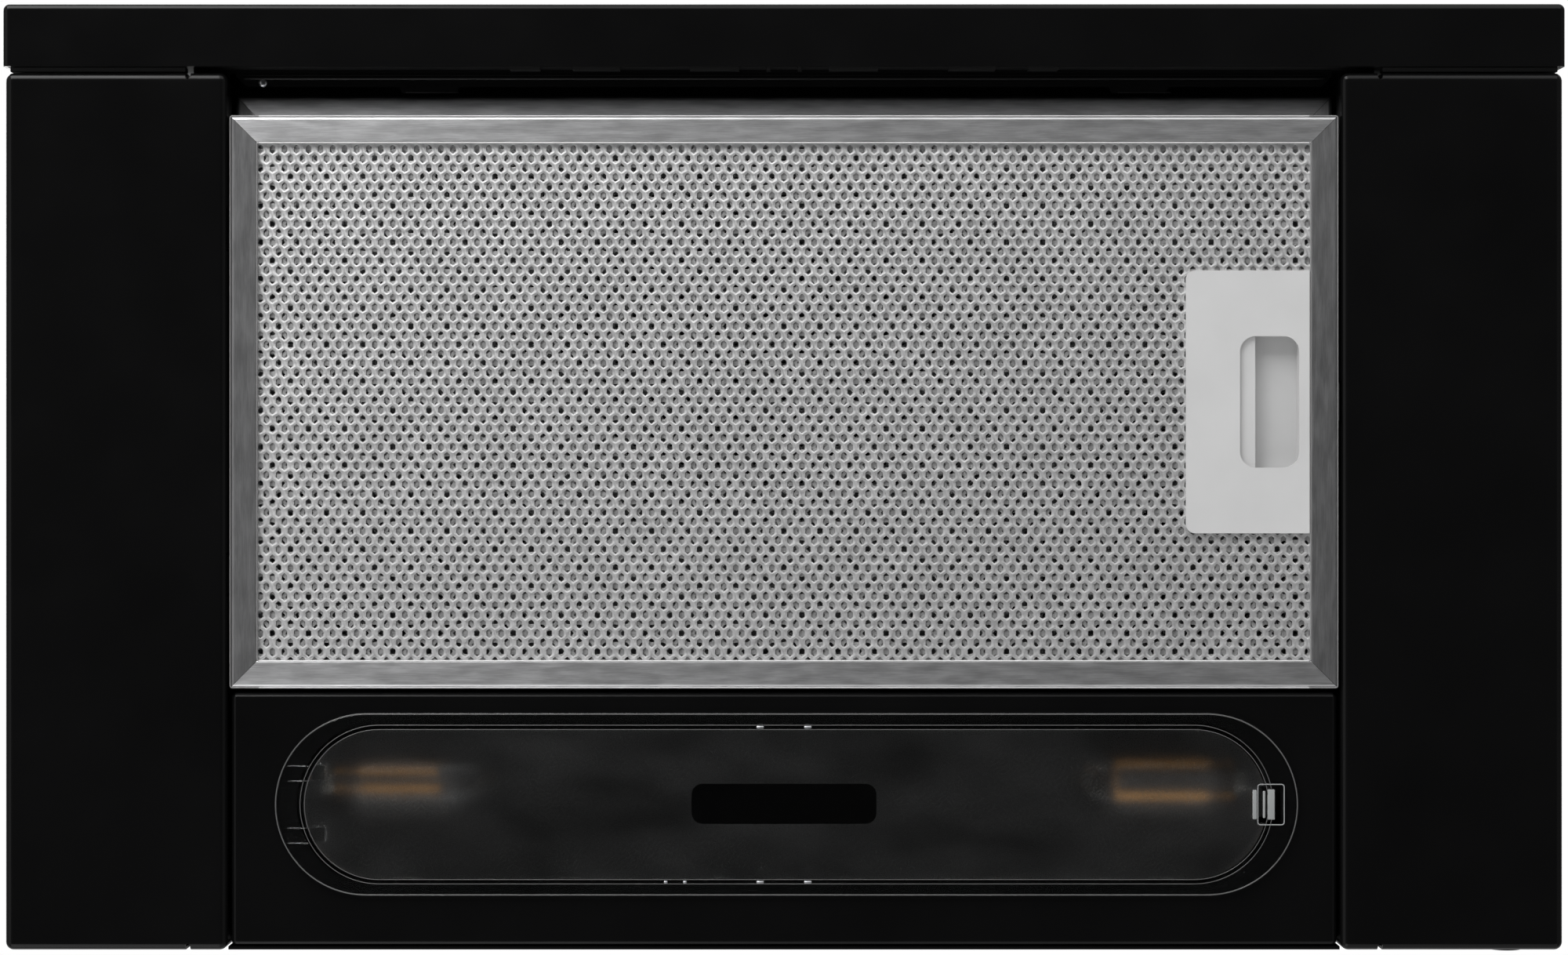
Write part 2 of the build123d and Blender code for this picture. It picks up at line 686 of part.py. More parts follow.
save(cable_gland, "cable_gland")


# Lamp panel: folded tray with a long round-ended aperture
with BuildPart() as lamp_panel:
    with BuildSketch(Plane.XY.offset(LAMP_PANEL_Z)):
        rectangle_between((-LAMP_PANEL_HALF, LAMP_PANEL_HALF), (LAMP_PANEL_FRONT, BODY_REAR - SHEET))
    extrude(amount=LAMP_FLANGE_TOP - LAMP_PANEL_Z)
    fillet(lamp_panel.edges().filter_by(Axis.Z), 2)
    fillet(lamp_panel.faces().sort_by(Axis.Z)[0].edges(), 2)
    offset(amount=-SHEET, openings=lamp_panel.faces().sort_by(Axis.Z)[-1])
    with BuildSketch(Plane.XY.offset(LAMP_PANEL_Z)):
        with Locations((SKIRT_X, COVER_Y)):
            SlotOverall(SKIRT_LENGTH + 2 * SKIRT_GAP, SKIRT_WIDTH + 2 * SKIRT_GAP)
        rectangle_between(CLIP_GATE_X, (COVER_Y - CLIP_WIDTH / 2 - 1.8, COVER_Y + CLIP_WIDTH / 2 + 1.8))
    extrude(amount=2 * SHEET, mode=Mode.SUBTRACT)
save(lamp_panel, "lamp_panel")

# Lamp housing: box above the lamp panel, with a flange that lies on the panel's folded edges
with BuildPart() as lamp_housing:
    block((-LAMP_HOUSING_HALF, LAMP_HOUSING_HALF), LAMP_HOUSING_Y, (LAMP_FLANGE_TOP, LAMP_HOUSING_TOP))
    fillet(lamp_housing.edges().filter_by(Axis.Z), 4)
    fillet(lamp_housing.faces().sort_by(Axis.Z)[-1].edges(), 3)
    offset(amount=-SHEET, openings=lamp_housing.faces().sort_by(Axis.Z)[0])
    with BuildSketch(Plane.XY.offset(LAMP_FLANGE_TOP)):
        rectangle_between((-LAMP_PANEL_HALF, LAMP_PANEL_HALF), (LAMP_PANEL_FRONT, BODY_REAR - SHEET))
        with Locations((0, sum(LAMP_HOUSING_Y) / 2)):
            RectangleRounded(
                2 * (LAMP_HOUSING_HALF - SHEET),
                LAMP_HOUSING_Y[1] - LAMP_HOUSING_Y[0] - 2 * SHEET,
                3,
                mode=Mode.SUBTRACT,
            )
    extrude(amount=SHEET)
save(lamp_housing, "lamp_housing")

# Lamp cover: clear plate with a skirt round the frosted middle and a release clip at its right end
with BuildPart() as lamp_cover:
    with BuildSketch(Plane.XY.offset(COVER_Z)):
        with Locations((COVER_X, COVER_Y)):
            SlotOverall(COVER_LENGTH, COVER_WIDTH)
    extrude(amount=COVER_THICKNESS)
    fillet(lamp_cover.faces().sort_by(Axis.Z)[0].edges(), 0.8)
    with BuildSketch(Plane.XY.offset(COVER_Z + COVER_THICKNESS)):
        with Locations((SKIRT_X, COVER_Y)):
            SlotOverall(SKIRT_LENGTH, SKIRT_WIDTH)
            SlotOverall(SKIRT_LENGTH - 2 * SKIRT_WALL, SKIRT_WIDTH - 2 * SKIRT_WALL, mode=Mode.SUBTRACT)
    extrude(amount=SKIRT_TOP - COVER_Z - COVER_THICKNESS)
    for notch_x in NOTCH_XS:
        block(
            (notch_x - SKIRT_NOTCH / 2, notch_x + SKIRT_NOTCH / 2),
            (COVER_Y - SKIRT_WIDTH, COVER_Y + SKIRT_WIDTH),
            (SKIRT_TOP - 3, SKIRT_TOP + 1),
            mode=Mode.SUBTRACT,
        )
    clip_y = (COVER_Y - CLIP_WIDTH / 2, COVER_Y + CLIP_WIDTH / 2)
    block(CLIP_WINDOW_X, (clip_y[0] - 1.2, clip_y[1] + 1.8), (-1, SKIRT_TOP + 1), mode=Mode.SUBTRACT)
    for leg_x in (CLIP_X[0], CLIP_X[1] - SKIRT_WALL):
        block((leg_x, leg_x + SKIRT_WALL), clip_y, (COVER_Z, SKIRT_TOP + 2))
    block(CLIP_X, clip_y, (SKIRT_TOP, SKIRT_TOP + 2))
    with BuildSketch(Plane.XY.offset(COVER_Z)):
        with Locations((0, COVER_Y)):
            RectangleRounded(WINDOW_LENGTH, WINDOW_WIDTH, WINDOW_ROUND)
    extrude(amount=WINDOW_DEPTH, mode=Mode.SUBTRACT)
    block(
        (-PULL_HALF, PULL_HALF),
        (COVER_Y + COVER_WIDTH / 2 - PULL_WIDTH, COVER_Y + COVER_WIDTH / 2 + 1),
        (COVER_Z - 1, COVER_Z + PULL_DEPTH),
        mode=Mode.SUBTRACT,
    )
    plate_top = COVER_Z + COVER_THICKNESS
    for side in SIDES.values():
        wall_y = COVER_Y + side * SKIRT_WIDTH / 2
        block((-CATCH_WIDTH / 2, CATCH_WIDTH / 2), (wall_y, wall_y + side * CATCH_REACH), CATCH_Z)
        inner_y = wall_y - side * SKIRT_WALL
        for rib_x in (-CATCH_RIB_X, CATCH_RIB_X):
            block(
                (rib_x - CATCH_RIB[0] / 2, rib_x + CATCH_RIB[0] / 2),
                (wall_y - side * SKIRT_WALL / 2, inner_y - side * CATCH_RIB[1]),
                (plate_top, SKIRT_TOP),
            )
        end_rib_y = (COVER_Y + side * END_RIB_Y[0], COVER_Y + side * END_RIB_Y[1])
        block(END_RIB_X, end_rib_y, (plate_top, SKIRT_TOP))
save(lamp_cover, "lamp_cover")


def lamp_plane(side, x, turn=0):
    """Plane across a lamp's axis at a distance x from the middle, facing outwards."""
    return Plane(
        origin=(side * x, LAMP_Y, LAMP_Z),
        x_dir=(0, cos(radians(turn)), sin(radians(turn))),
        z_dir=(side, 0, 0),
    )


# Lampholders on the end walls of the lamp housing, bored for the lamps' caps
with BuildPart() as lampholders:
    for side in SIDES.values():
        with BuildSketch(lamp_plane(side, HOLDER_X)):
            Circle(HOLDER_R)
            Circle(LAMP_NECK_R + 0.3, mode=Mode.SUBTRACT)
        extrude(amount=HOLDER_END - HOLDER_X)
        with BuildSketch(lamp_plane(side, HOLDER_END - 3)):
            Circle(HOLDER_R)
        extrude(amount=3)
save(lampholders, "lampholders")

# Bulb profile, from its rounded tip to its open neck
with BuildSketch() as bulb_section:
    with BuildLine():
        Polyline(
            (LAMP_TIP_X, 0),
            (LAMP_CAP_X, 0),
            (LAMP_CAP_X, LAMP_NECK_R),
            (LAMP_CAP_X - 2, LAMP_NECK_R),
            (LAMP_CAP_X - 7, LAMP_R),
            (LAMP_TIP_X, LAMP_R),
            close=True,
        )
    make_face()
    fillet(bulb_section.vertices().sort_by(Axis.X)[2:4], 4)
    fillet(bulb_section.vertices().sort_by(Axis.Y).group_by(Axis.Y)[-1].sort_by(Axis.X)[0], LAMP_R - 0.2)

# The right lamp's glass; the left one is its mirror image
with BuildPart() as lamp_glass:
    with BuildSketch(Plane.XZ.offset(-LAMP_Y)):
        with Locations((0, LAMP_Z)):
            add(bulb_section.sketch)
    revolve(axis=Axis((0, LAMP_Y, LAMP_Z), (1, 0, 0)))
    offset(amount=-LAMP_WALL, openings=lamp_glass.faces().sort_by(Axis.X)[-1])
    mirror(about=Plane.YZ)
save(lamp_glass, "lamp_glass")

with BuildPart() as lamp_caps:
    for side in SIDES.values():
        with BuildSketch(lamp_plane(side, LAMP_CAP_X)):
            Circle(LAMP_NECK_R)
        extrude(amount=18)
        with BuildSketch(lamp_plane(side, LAMP_CAP_X + 18)):
            Circle(3)
        extrude(amount=HOLDER_END - 3 - LAMP_CAP_X - 18)
save(lamp_caps, "lamp_caps")

# Lit strips on their wires, joined at the far end and turned about each lamp's axis
with BuildPart() as lamp_filaments:
    for side, turn in ((-1, FILAMENT_TURN_LEFT), (1, FILAMENT_TURN_RIGHT)):
        with BuildSketch(lamp_plane(side, FILAMENT_X, turn)):
            with Locations((-FILAMENT_SPREAD, 0), (FILAMENT_SPREAD, 0)):
                Rectangle(*FILAMENT_SECTION)
        extrude(amount=FILAMENT_LENGTH)
        with BuildSketch(lamp_plane(side, FILAMENT_X + FILAMENT_LENGTH, turn)):
            with Locations((-FILAMENT_SPREAD, 0), (FILAMENT_SPREAD, 0)):
                Rectangle(FILAMENT_WIRE, FILAMENT_WIRE)
        extrude(amount=LAMP_CAP_X - FILAMENT_X - FILAMENT_LENGTH)
        with BuildSketch(lamp_plane(side, FILAMENT_X, turn)):
            Rectangle(2 * FILAMENT_SPREAD, FILAMENT_WIRE)
        extrude(amount=FILAMENT_WIRE)
save(lamp_filaments, "lamp_filaments")


def frame_member(plane, length, bolt_slot):
    """One mitred channel of a filter frame; the plane's X runs along its outer edge."""
    with BuildPart() as member:
        with BuildSketch(plane):
            Trapezoid(length, FRAME_WIDTH, 45, align=(Align.CENTER, Align.MIN))
        extrude(amount=FILTER_HEIGHT)
        long_edges = member.edges().filter_by(Axis(plane.origin, plane.x_dir)).sort_by(SortBy.LENGTH)
        fillet(long_edges[-2:], FILTER_ROUND)
        fillet(long_edges[:2].sort_by(Axis.Z)[0], FILTER_LIP_ROUND)
        with BuildSketch(plane.offset(FRAME_SHEET)):
            with Locations((0, FRAME_SHEET)):
                Rectangle(length + 2, FRAME_WIDTH, align=(Align.CENTER, Align.MIN))
        extrude(amount=FILTER_HEIGHT - 2 * FRAME_SHEET, mode=Mode.SUBTRACT)
        if bolt_slot:
            with BuildSketch(plane.offset(LATCH_LIFT - 0.2)):
                Rectangle(BOLT_WIDTH + 1, 3 * FRAME_SHEET)
            extrude(amount=LATCH_THICKNESS + 0.4, mode=Mode.SUBTRACT)
    return member


def frame_members(half, front, bottom):
    """The four channels of one filter frame, by the edge that each lies on."""
    middle = front + FILTER_DEPTH / 2
    edge_planes = {
        "front": Plane(origin=(0, front, bottom), x_dir=(1, 0, 0)),
        "rear": Plane(origin=(0, front + FILTER_DEPTH, bottom), x_dir=(-1, 0, 0)),
        "left": Plane(origin=(-half, middle, bottom), x_dir=(0, -1, 0)),
        "right": Plane(origin=(half, middle, bottom), x_dir=(0, 1, 0)),
    }
    members = {}
    for edge_name, plane in edge_planes.items():
        length = 2 * half if edge_name in ("front", "rear") else FILTER_DEPTH
        members[edge_name] = frame_member(plane, length, edge_name == "right")
    return members


def filter_mesh(half, front, bottom, columns, rows):
    """Pack of expanded metal as one plate with staggered diamonds, cut away for the latch."""
    rear = front + FILTER_DEPTH
    middle = front + FILTER_DEPTH / 2
    pitch_x = (2 * (half - FRAME_WIDTH) - 6) / columns
    pitch_y = (FILTER_DEPTH - 2 * FRAME_WIDTH - 6) / rows
    handle_left = half - FRAME_WIDTH - HANDLE_PLAY - HANDLE_WIDTH
    spots = [
        location.position
        for grid in ((columns, rows), (columns - 1, rows - 1))
        for location in GridLocations(pitch_x, pitch_y, *grid)
    ]
    diamonds = [
        (spot.X, middle + spot.Y)
        for spot in spots
        if spot.X < handle_left - pitch_x / 2 or abs(spot.Y) > (HANDLE_LENGTH + pitch_y) / 2
    ]
    with BuildPart() as mesh:
        with BuildSketch(Plane.XY.offset(bottom + FRAME_SHEET)):
            rectangle_between(
                (FRAME_SHEET - half, half - FRAME_SHEET), (front + FRAME_SHEET, rear - FRAME_SHEET)
            )
            rectangle_between(
                (handle_left + 5, half), (middle - LATCH_WINDOW, middle + LATCH_WINDOW), mode=Mode.SUBTRACT
            )
            with Locations(*diamonds):
                Polygon(
                    (-pitch_x / 2 + MESH_STRAND, 0),
                    (0, MESH_STRAND - pitch_y / 2),
                    (pitch_x / 2 - MESH_STRAND, 0),
                    (0, pitch_y / 2 - MESH_STRAND),
                    mode=Mode.SUBTRACT,
                )
        extrude(amount=FILTER_HEIGHT - 2 * FRAME_SHEET)
    return mesh


def filter_handle(half, front, bottom):
    """Handle plate with a rounded slot and the finger pocket behind it."""
    middle = front + FILTER_DEPTH / 2
    right = half - FRAME_WIDTH - HANDLE_PLAY
    left = right - HANDLE_WIDTH
    slot_left = right - HANDLE_MARGIN - POCKET_WIDTH
    pocket_left = slot_left + FINGER_STRIP
    pocket_right = right - HANDLE_MARGIN
    half_length = POCKET_LENGTH / 2
    with BuildPart() as handle:
        with BuildSketch(Plane.XY.offset(bottom)) as plate:
            rectangle_between((left, right), (middle - HANDLE_LENGTH / 2, middle + HANDLE_LENGTH / 2))
            fillet(plate.vertices().sort_by(Axis.X)[:2], HANDLE_ROUND)
            with Locations(((slot_left + pocket_right) / 2, middle)):
                RectangleRounded(POCKET_WIDTH, POCKET_LENGTH, POCKET_ROUND, mode=Mode.SUBTRACT)
        extrude(amount=HANDLE_THICKNESS)
        with BuildSketch(Plane.XY.offset(bottom + HANDLE_THICKNESS)):
            rectangle_between(
                (pocket_left - POCKET_WALL, pocket_right + POCKET_WALL),
                (middle - half_length - POCKET_WALL, middle + half_length + POCKET_WALL),
            )
        extrude(amount=POCKET_TOP - HANDLE_THICKNESS)
        with BuildSketch(Plane.XY.offset(bottom + HANDLE_THICKNESS)):
            rectangle_between((pocket_left, pocket_right), (middle - half_length, middle + half_length))
        extrude(amount=POCKET_TOP - HANDLE_THICKNESS - POCKET_WALL, mode=Mode.SUBTRACT)
        block(
            (pocket_left - 2 * POCKET_WALL, pocket_left),
            (middle - half_length - 2, middle + half_length + 2),
            (bottom + HANDLE_THICKNESS, bottom + LATCH_LIFT + LATCH_THICKNESS + 0.3),
            mode=Mode.SUBTRACT,
        )
    return handle


def filter_latch(half, front, bottom):
    """Sliding latch: finger strip, two arms round the pocket and the bolt in the frame channel."""
    middle = front + FILTER_DEPTH / 2
    right = half - FRAME_WIDTH - HANDLE_PLAY
    strip_right = right - HANDLE_MARGIN - POCKET_WIDTH + FINGER_STRIP
    arm_inner = POCKET_LENGTH / 2 + POCKET_WALL + 0.5
    bar_left = half - 6.2
    bar_right = half - FRAME_SHEET - 0.2
    with BuildPart() as latch:
        with BuildSketch(Plane.XY.offset(bottom + LATCH_LIFT)) as outline:
            rectangle_between(
                (strip_right - 12, bar_right),
                (middle - arm_inner - LATCH_ARM, middle + arm_inner + LATCH_ARM),
            )
            rectangle_between(
                (strip_right, bar_left), (middle - arm_inner, middle + arm_inner), mode=Mode.SUBTRACT
            )
            rectangle_between(
                (bar_right, half + BOLT_REACH), (middle - BOLT_WIDTH / 2, middle + BOLT_WIDTH / 2)
            )
        extrude(amount=LATCH_THICKNESS)
    return latch


def filter_tabs(half, front, bottom):
    """Two steel tongues on the left channel that hook into slots beside the filter."""
    middle = front + FILTER_DEPTH / 2
    with BuildPart() as tabs:
        with BuildSketch(Plane.XY.offset(bottom + TAB_LIFT)):
            with Locations((-half, middle)):
                with GridLocations(1, TAB_SPACING, 1, 2):
                    Rectangle(TAB_REACH, TAB_WIDTH, align=(Align.MAX, Align.CENTER))
        extrude(amount=TAB_THICKNESS)
    return tabs


def save_filter(prefix, half, front, bottom, columns, rows):
    """Write the inner pieces of one grease filter."""
    save(filter_mesh(half, front, bottom, columns, rows), f"{prefix}_mesh")
    save(filter_handle(half, front, bottom), f"{prefix}_handle")
    save(filter_latch(half, front, bottom), f"{prefix}_latch")
    save(filter_tabs(half, front, bottom), f"{prefix}_tabs")


save_filter("main_filter", MAIN_FILTER_HALF, MAIN_FILTER_FRONT, MAIN_FILTER_Z, 21, 7)
for edge_name, member in frame_members(MAIN_FILTER_HALF, MAIN_FILTER_FRONT, MAIN_FILTER_Z).items():
    save(member, f"main_filter_frame_{edge_name}")

save_filter("drawer_filter", DRAWER_FILTER_HALF, DRAWER_FILTER_FRONT, DRAWER_FILTER_Z, 9, 3)
with BuildPart() as drawer_filter_frame:
    for member in frame_members(DRAWER_FILTER_HALF, DRAWER_FILTER_FRONT, DRAWER_FILTER_Z).values():
        add(member.part)
save(drawer_filter_frame, "drawer_filter_frame")


# Drawer tray: top plate, front wall with a tabbed flange, hollow sides and rear web
with BuildPart() as drawer_tray:
    filter_middle = DRAWER_FILTER_FRONT + FILTER_DEPTH / 2
    with BuildSketch(Plane.XY.offset(TRAY_TOP - SHEET)):
        rectangle_between((-TRAY_SIDE_X, TRAY_SIDE_X), (PANEL_BACK, TRAY_PLATE_REAR))
        rectangle_between((-TRAY_SIDE_X, TRAY_SIDE_X), (TRAY_REAR - TRAY_WEB, TRAY_REAR))
        for side in SIDES.values():
            rectangle_between((side * TRAY_WALL_X, side * TRAY_SIDE_X), (PANEL_BACK, TRAY_REAR))
    extrude(amount=SHEET)
    with BuildSketch(Plane.XY.offset(TRAY_BOTTOM)):
        rectangle_between((-TRAY_SIDE_X, TRAY_SIDE_X), (PANEL_BACK, PANEL_BACK + SHEET))
        rectangle_between((-TRAY_SIDE_X, TRAY_SIDE_X), (TRAY_REAR - SHEET, TRAY_REAR))
        for side in SIDES.values():
            rectangle_between((side * TRAY_WALL_X, side * (TRAY_WALL_X + SHEET)), (PANEL_BACK, TRAY_REAR))
            rectangle_between((side * (TRAY_SIDE_X - SHEET), side * TRAY_SIDE_X), (PANEL_BACK, TRAY_REAR))
    extrude(amount=TRAY_TOP - SHEET - TRAY_BOTTOM)
    block((-TRAY_FRONT_HALF, TRAY_FRONT_HALF), (PANEL_BACK, PANEL_BACK + SHEET), (TRAY_FLANGE_Z, TRAY_BOTTOM))
    with BuildSketch(Plane.XY.offset(TRAY_FLANGE_Z)):
        with BuildLine():
            flange_rear = PANEL_BACK + TRAY_FLANGE_DEPTH
            Polyline(
                (-TRAY_FRONT_HALF, PANEL_BACK),
                (TRAY_FRONT_HALF, PANEL_BACK),
                (TRAY_FRONT_HALF, flange_rear - TRAY_FLANGE_CUT),
                (TRAY_FRONT_HALF - TRAY_FLANGE_CUT, flange_rear),
                (TRAY_FLANGE_CUT - TRAY_FRONT_HALF, flange_rear),
                (-TRAY_FRONT_HALF, flange_rear - TRAY_FLANGE_CUT),
                close=True,
            )
        make_face()
        with Locations((-TRAY_TAB_X, flange_rear), (TRAY_TAB_X, flange_rear)):
            Trapezoid(TRAY_TAB_LENGTH, TRAY_TAB_DEPTH, 60, align=(Align.CENTER, Align.MIN))
    extrude(amount=SHEET)
    for offset_y in (-TAB_SPACING / 2, TAB_SPACING / 2):
        tab_y = filter_middle + offset_y
        block(
            (-TRAY_WALL_X - 2, 1 - TRAY_WALL_X),
            (tab_y - TAB_WIDTH / 2 - 1, tab_y + TAB_WIDTH / 2 + 1),
            (DRAWER_FILTER_Z + 0.8, DRAWER_FILTER_Z + 0.8 + TAB_SLOT_HEIGHT),
            mode=Mode.SUBTRACT,
        )
    block(
        (TRAY_WALL_X - 1, TRAY_WALL_X + 2),
        (filter_middle - BOLT_WIDTH / 2 - 1, filter_middle + BOLT_WIDTH / 2 + 1),
        (DRAWER_FILTER_Z + 0.8, DRAWER_FILTER_Z + 0.8 + TAB_SLOT_HEIGHT),
        mode=Mode.SUBTRACT,
    )
save(drawer_tray, "drawer_tray")


def drawer_rail(side):
    """Moving C rail on the tray's side, with an end plate that meets the drawer switch."""
    with BuildPart() as rail:
        with BuildSketch(Plane.XZ.offset(-RAIL_START)):
            rectangle_between((side * TRAY_SIDE_X, side * (TRAY_SIDE_X + RAIL_DEPTH)), RAIL_Z)
            rectangle_between(
                (side * (TRAY_SIDE_X + SHEET), side * (TRAY_SIDE_X + 2 * RAIL_DEPTH)),
                (RAIL_Z[0] + SHEET, RAIL_Z[1] - SHEET),
                mode=Mode.SUBTRACT,
            )
        extrude(amount=RAIL_START - RAIL_REAR)
        block(
            (side * TRAY_SIDE_X, side * (TRAY_SIDE_X + RAIL_DEPTH)), (RAIL_REAR - SHEET, RAIL_REAR), RAIL_Z
        )
    return rail


def fixed_rail(side):
    """C rail fixed in the slab, open towards the drawer."""
    inner, outer = FIXED_RAIL_X
    with BuildPart() as rail:
        with BuildSketch(Plane.XZ.offset(-FIXED_RAIL_Y[0])):
            rectangle_between((side * inner, side * outer), FIXED_RAIL_Z)
            rectangle_between(
                (side * (inner - 1), side * (outer - SHEET)),
                (FIXED_RAIL_Z[0] + SHEET, FIXED_RAIL_Z[1] - SHEET),
                mode=Mode.SUBTRACT,
            )
        extrude(amount=FIXED_RAIL_Y[0] - FIXED_RAIL_Y[1])
    return rail


def glide_pair(x_span, y_span, lower_z, upper_z):
    """Nylon shoes above and below a moving rail, on both sides of the hood."""
    for side in SIDES.values():
        for z_span in (lower_z, upper_z):
            block((side * x_span[0], side * x_span[1]), y_span, z_span)


for side_name, side in SIDES.items():
    save(drawer_rail(side), f"{side_name}_drawer_rail")
    save(fixed_rail(side), f"{side_name}_fixed_rail")

# Four angle brackets that hang the fixed rails from the slab roof
with BuildPart() as rail_brackets:
    outer_x = FIXED_RAIL_X[1]
    roof_z = SLAB_TOP - SHEET
    for side in SIDES.values():
        for y_span in BRACKET_SPANS:
            block((side * outer_x, side * (outer_x + BRACKET_SHEET)), y_span, (BRACKET_BOTTOM, roof_z))
            block((side * outer_x, side * (outer_x + BRACKET_FOOT)), y_span, (roof_z - BRACKET_SHEET, roof_z))
save(rail_brackets, "rail_brackets")

with BuildPart() as fixed_glides:
    glide_pair(
        (FIXED_RAIL_X[0] + 0.5, FIXED_RAIL_X[0] + 6),
        (FIXED_RAIL_Y[0], FIXED_RAIL_Y[0] + GLIDE_LENGTH),
        (FIXED_RAIL_Z[0] + SHEET, RAIL_Z[0] - GLIDE_PLAY),
        (RAIL_Z[1] + GLIDE_PLAY, FIXED_RAIL_Z[1] - SHEET),
    )
save(fixed_glides, "fixed_glides")

with BuildPart() as drawer_glides:
    glide_pair(
        (FIXED_RAIL_X[0] + 0.5, TRAY_SIDE_X + RAIL_DEPTH),
        (RAIL_REAR - GLIDE_LENGTH - 5, RAIL_REAR - 5),
        (FIXED_RAIL_Z[0] + SHEET + GLIDE_PLAY, RAIL_Z[0]),
        (RAIL_Z[1], FIXED_RAIL_Z[1] - SHEET - GLIDE_PLAY),
    )
save(drawer_glides, "drawer_glides")


# Drawer switch inside the left fixed rail, and its plunger
with BuildPart() as drawer_switch:
    block(
        (SHEET - FIXED_RAIL_X[1], SWITCH_INNER_X), (SWITCH_FRONT, SWITCH_FRONT + SWITCH_LENGTH), SWITCH_Z
    )
    fillet(drawer_switch.edges().filter_by(Axis.Z), 1)
    with BuildSketch(SWITCH_PLANE):
        Circle(PLUNGER_R + RUNNING_GAP)
    extrude(amount=PLUNGER_LENGTH + 1, mode=Mode.SUBTRACT)
save(drawer_switch, "drawer_switch")

with BuildPart() as switch_plunger:
    with BuildSketch(SWITCH_PLANE.offset(-PLUNGER_REACH)):
        Circle(PLUNGER_R)
    extrude(amount=PLUNGER_LENGTH)
    fillet(switch_plunger.edges().filter_by(GeomType.CIRCLE).sort_by(Axis.Y)[0], 0.6)
save(switch_plunger, "switch_plunger")


# Front panel: folded steel tray, open at the back
with BuildPart() as front_panel:
    block((-FRONT_WIDTH / 2, FRONT_WIDTH / 2), (FRONT_Y, PANEL_BACK), (0, FRONT_HEIGHT))
    fillet(front_panel.edges().filter_by(Axis.Y), 2)
    fillet(front_panel.faces().sort_by(Axis.Y)[0].edges(), 2)
    offset(amount=-PANEL_SHEET, openings=front_panel.faces().sort_by(Axis.Y)[-1])
save(front_panel, "front_panel")

# Carrier: plate below the knobs, with hollow posts that reach the front panel's face
with BuildPart() as front_carrier:
    with BuildSketch(Plane.XZ.offset(-PANEL_BACK)):
        rectangle_between((-CARRIER_HALF, CARRIER_HALF), CARRIER_Z)
    extrude(amount=CARRIER_SHEET)
    fillet(front_carrier.edges().filter_by(Axis.Y).sort_by(Axis.X)[:2], 2)
    fillet(front_carrier.edges().filter_by(Axis.Y).sort_by(Axis.X)[-2:], 2)
    with BuildSketch(Plane.XZ.offset(CARRIER_SHEET - PANEL_BACK)):
        with Locations((0, POST_Z)):
            with GridLocations(POST_SPACING, 1, 4, 1):
                Circle(POST_R)
                Circle(POST_BORE_R, mode=Mode.SUBTRACT)
    extrude(amount=FRONT_DEPTH - CARRIER_SHEET - PANEL_SHEET)
save(front_carrier, "front_carrier")

# Small spring clips that show in the gap behind the front panel
with BuildPart() as front_clips:
    for start_x, end_x in CLIP_SPANS:
        for side in SIDES.values():
            block((side * start_x, side * end_x), (PANEL_BACK, PANEL_BACK + 0.9), (2, 8))
save(front_clips, "front_clips")


# Control fascia with two slots, behind the front panel
with BuildPart() as control_fascia:
    with BuildSketch(Plane.XZ.offset(-BODY_FRONT)):
        with Locations((0, CONTROL_Z)):
            RectangleRounded(2 * (CONTROL_HALF + FASCIA_MARGIN), FASCIA_HEIGHT, 2)
        for knob_x, travel in ((SPEED_KNOB_X, SPEED_TRAVEL), (LIGHT_KNOB_X, LIGHT_TRAVEL)):
            with Locations((knob_x + travel / 2, CONTROL_Z)):
                SlotOverall(travel + STEM_WIDTH + 2, STEM_HEIGHT + 0.6, mode=Mode.SUBTRACT)
    extrude(amount=FASCIA_THICKNESS)
save(control_fascia, "control_fascia")


def slide_knob(x):
    """Slide knob: grip in front of the fascia and a stem through its slot."""
    with BuildPart() as knob:
        with BuildSketch(Plane.XZ.offset(KNOB_PLAY - BODY_FRONT)):
            with Locations((x, CONTROL_Z)):
                RectangleRounded(KNOB_WIDTH, KNOB_HEIGHT, 1)
        extrude(amount=KNOB_DEPTH)
        fillet(knob.faces().sort_by(Axis.Y)[0].edges(), 0.5)
        with BuildSketch(Plane.XZ.offset(KNOB_PLAY - BODY_FRONT)):
            with Locations((x, CONTROL_Z)):
                Rectangle(STEM_WIDTH, STEM_HEIGHT)
        extrude(amount=-STEM_LENGTH)
    return knob


save(slide_knob(SPEED_KNOB_X), "speed_knob")
save(slide_knob(LIGHT_KNOB_X), "light_knob")

with BuildPart() as switch_block:
    block(
        (4 - CONTROL_HALF, CONTROL_HALF - 4),
        (BODY_FRONT + SWITCH_BLOCK_DEPTH[0], BODY_FRONT + SWITCH_BLOCK_DEPTH[1]),
        SWITCH_BLOCK_Z,
    )
    fillet(switch_block.edges().filter_by(Axis.Z), 2)
save(switch_block, "switch_block")

with BuildPart() as rear_spacer:
    with BuildSketch(Plane.XZ.offset(-BODY_REAR)):
        with Locations((SPACER_X, SPACER_Z)):
            Circle(SPACER_R)
    extrude(amount=-SPACER_THICKNESS)
save(rear_spacer, "rear_spacer")
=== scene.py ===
import json
import math

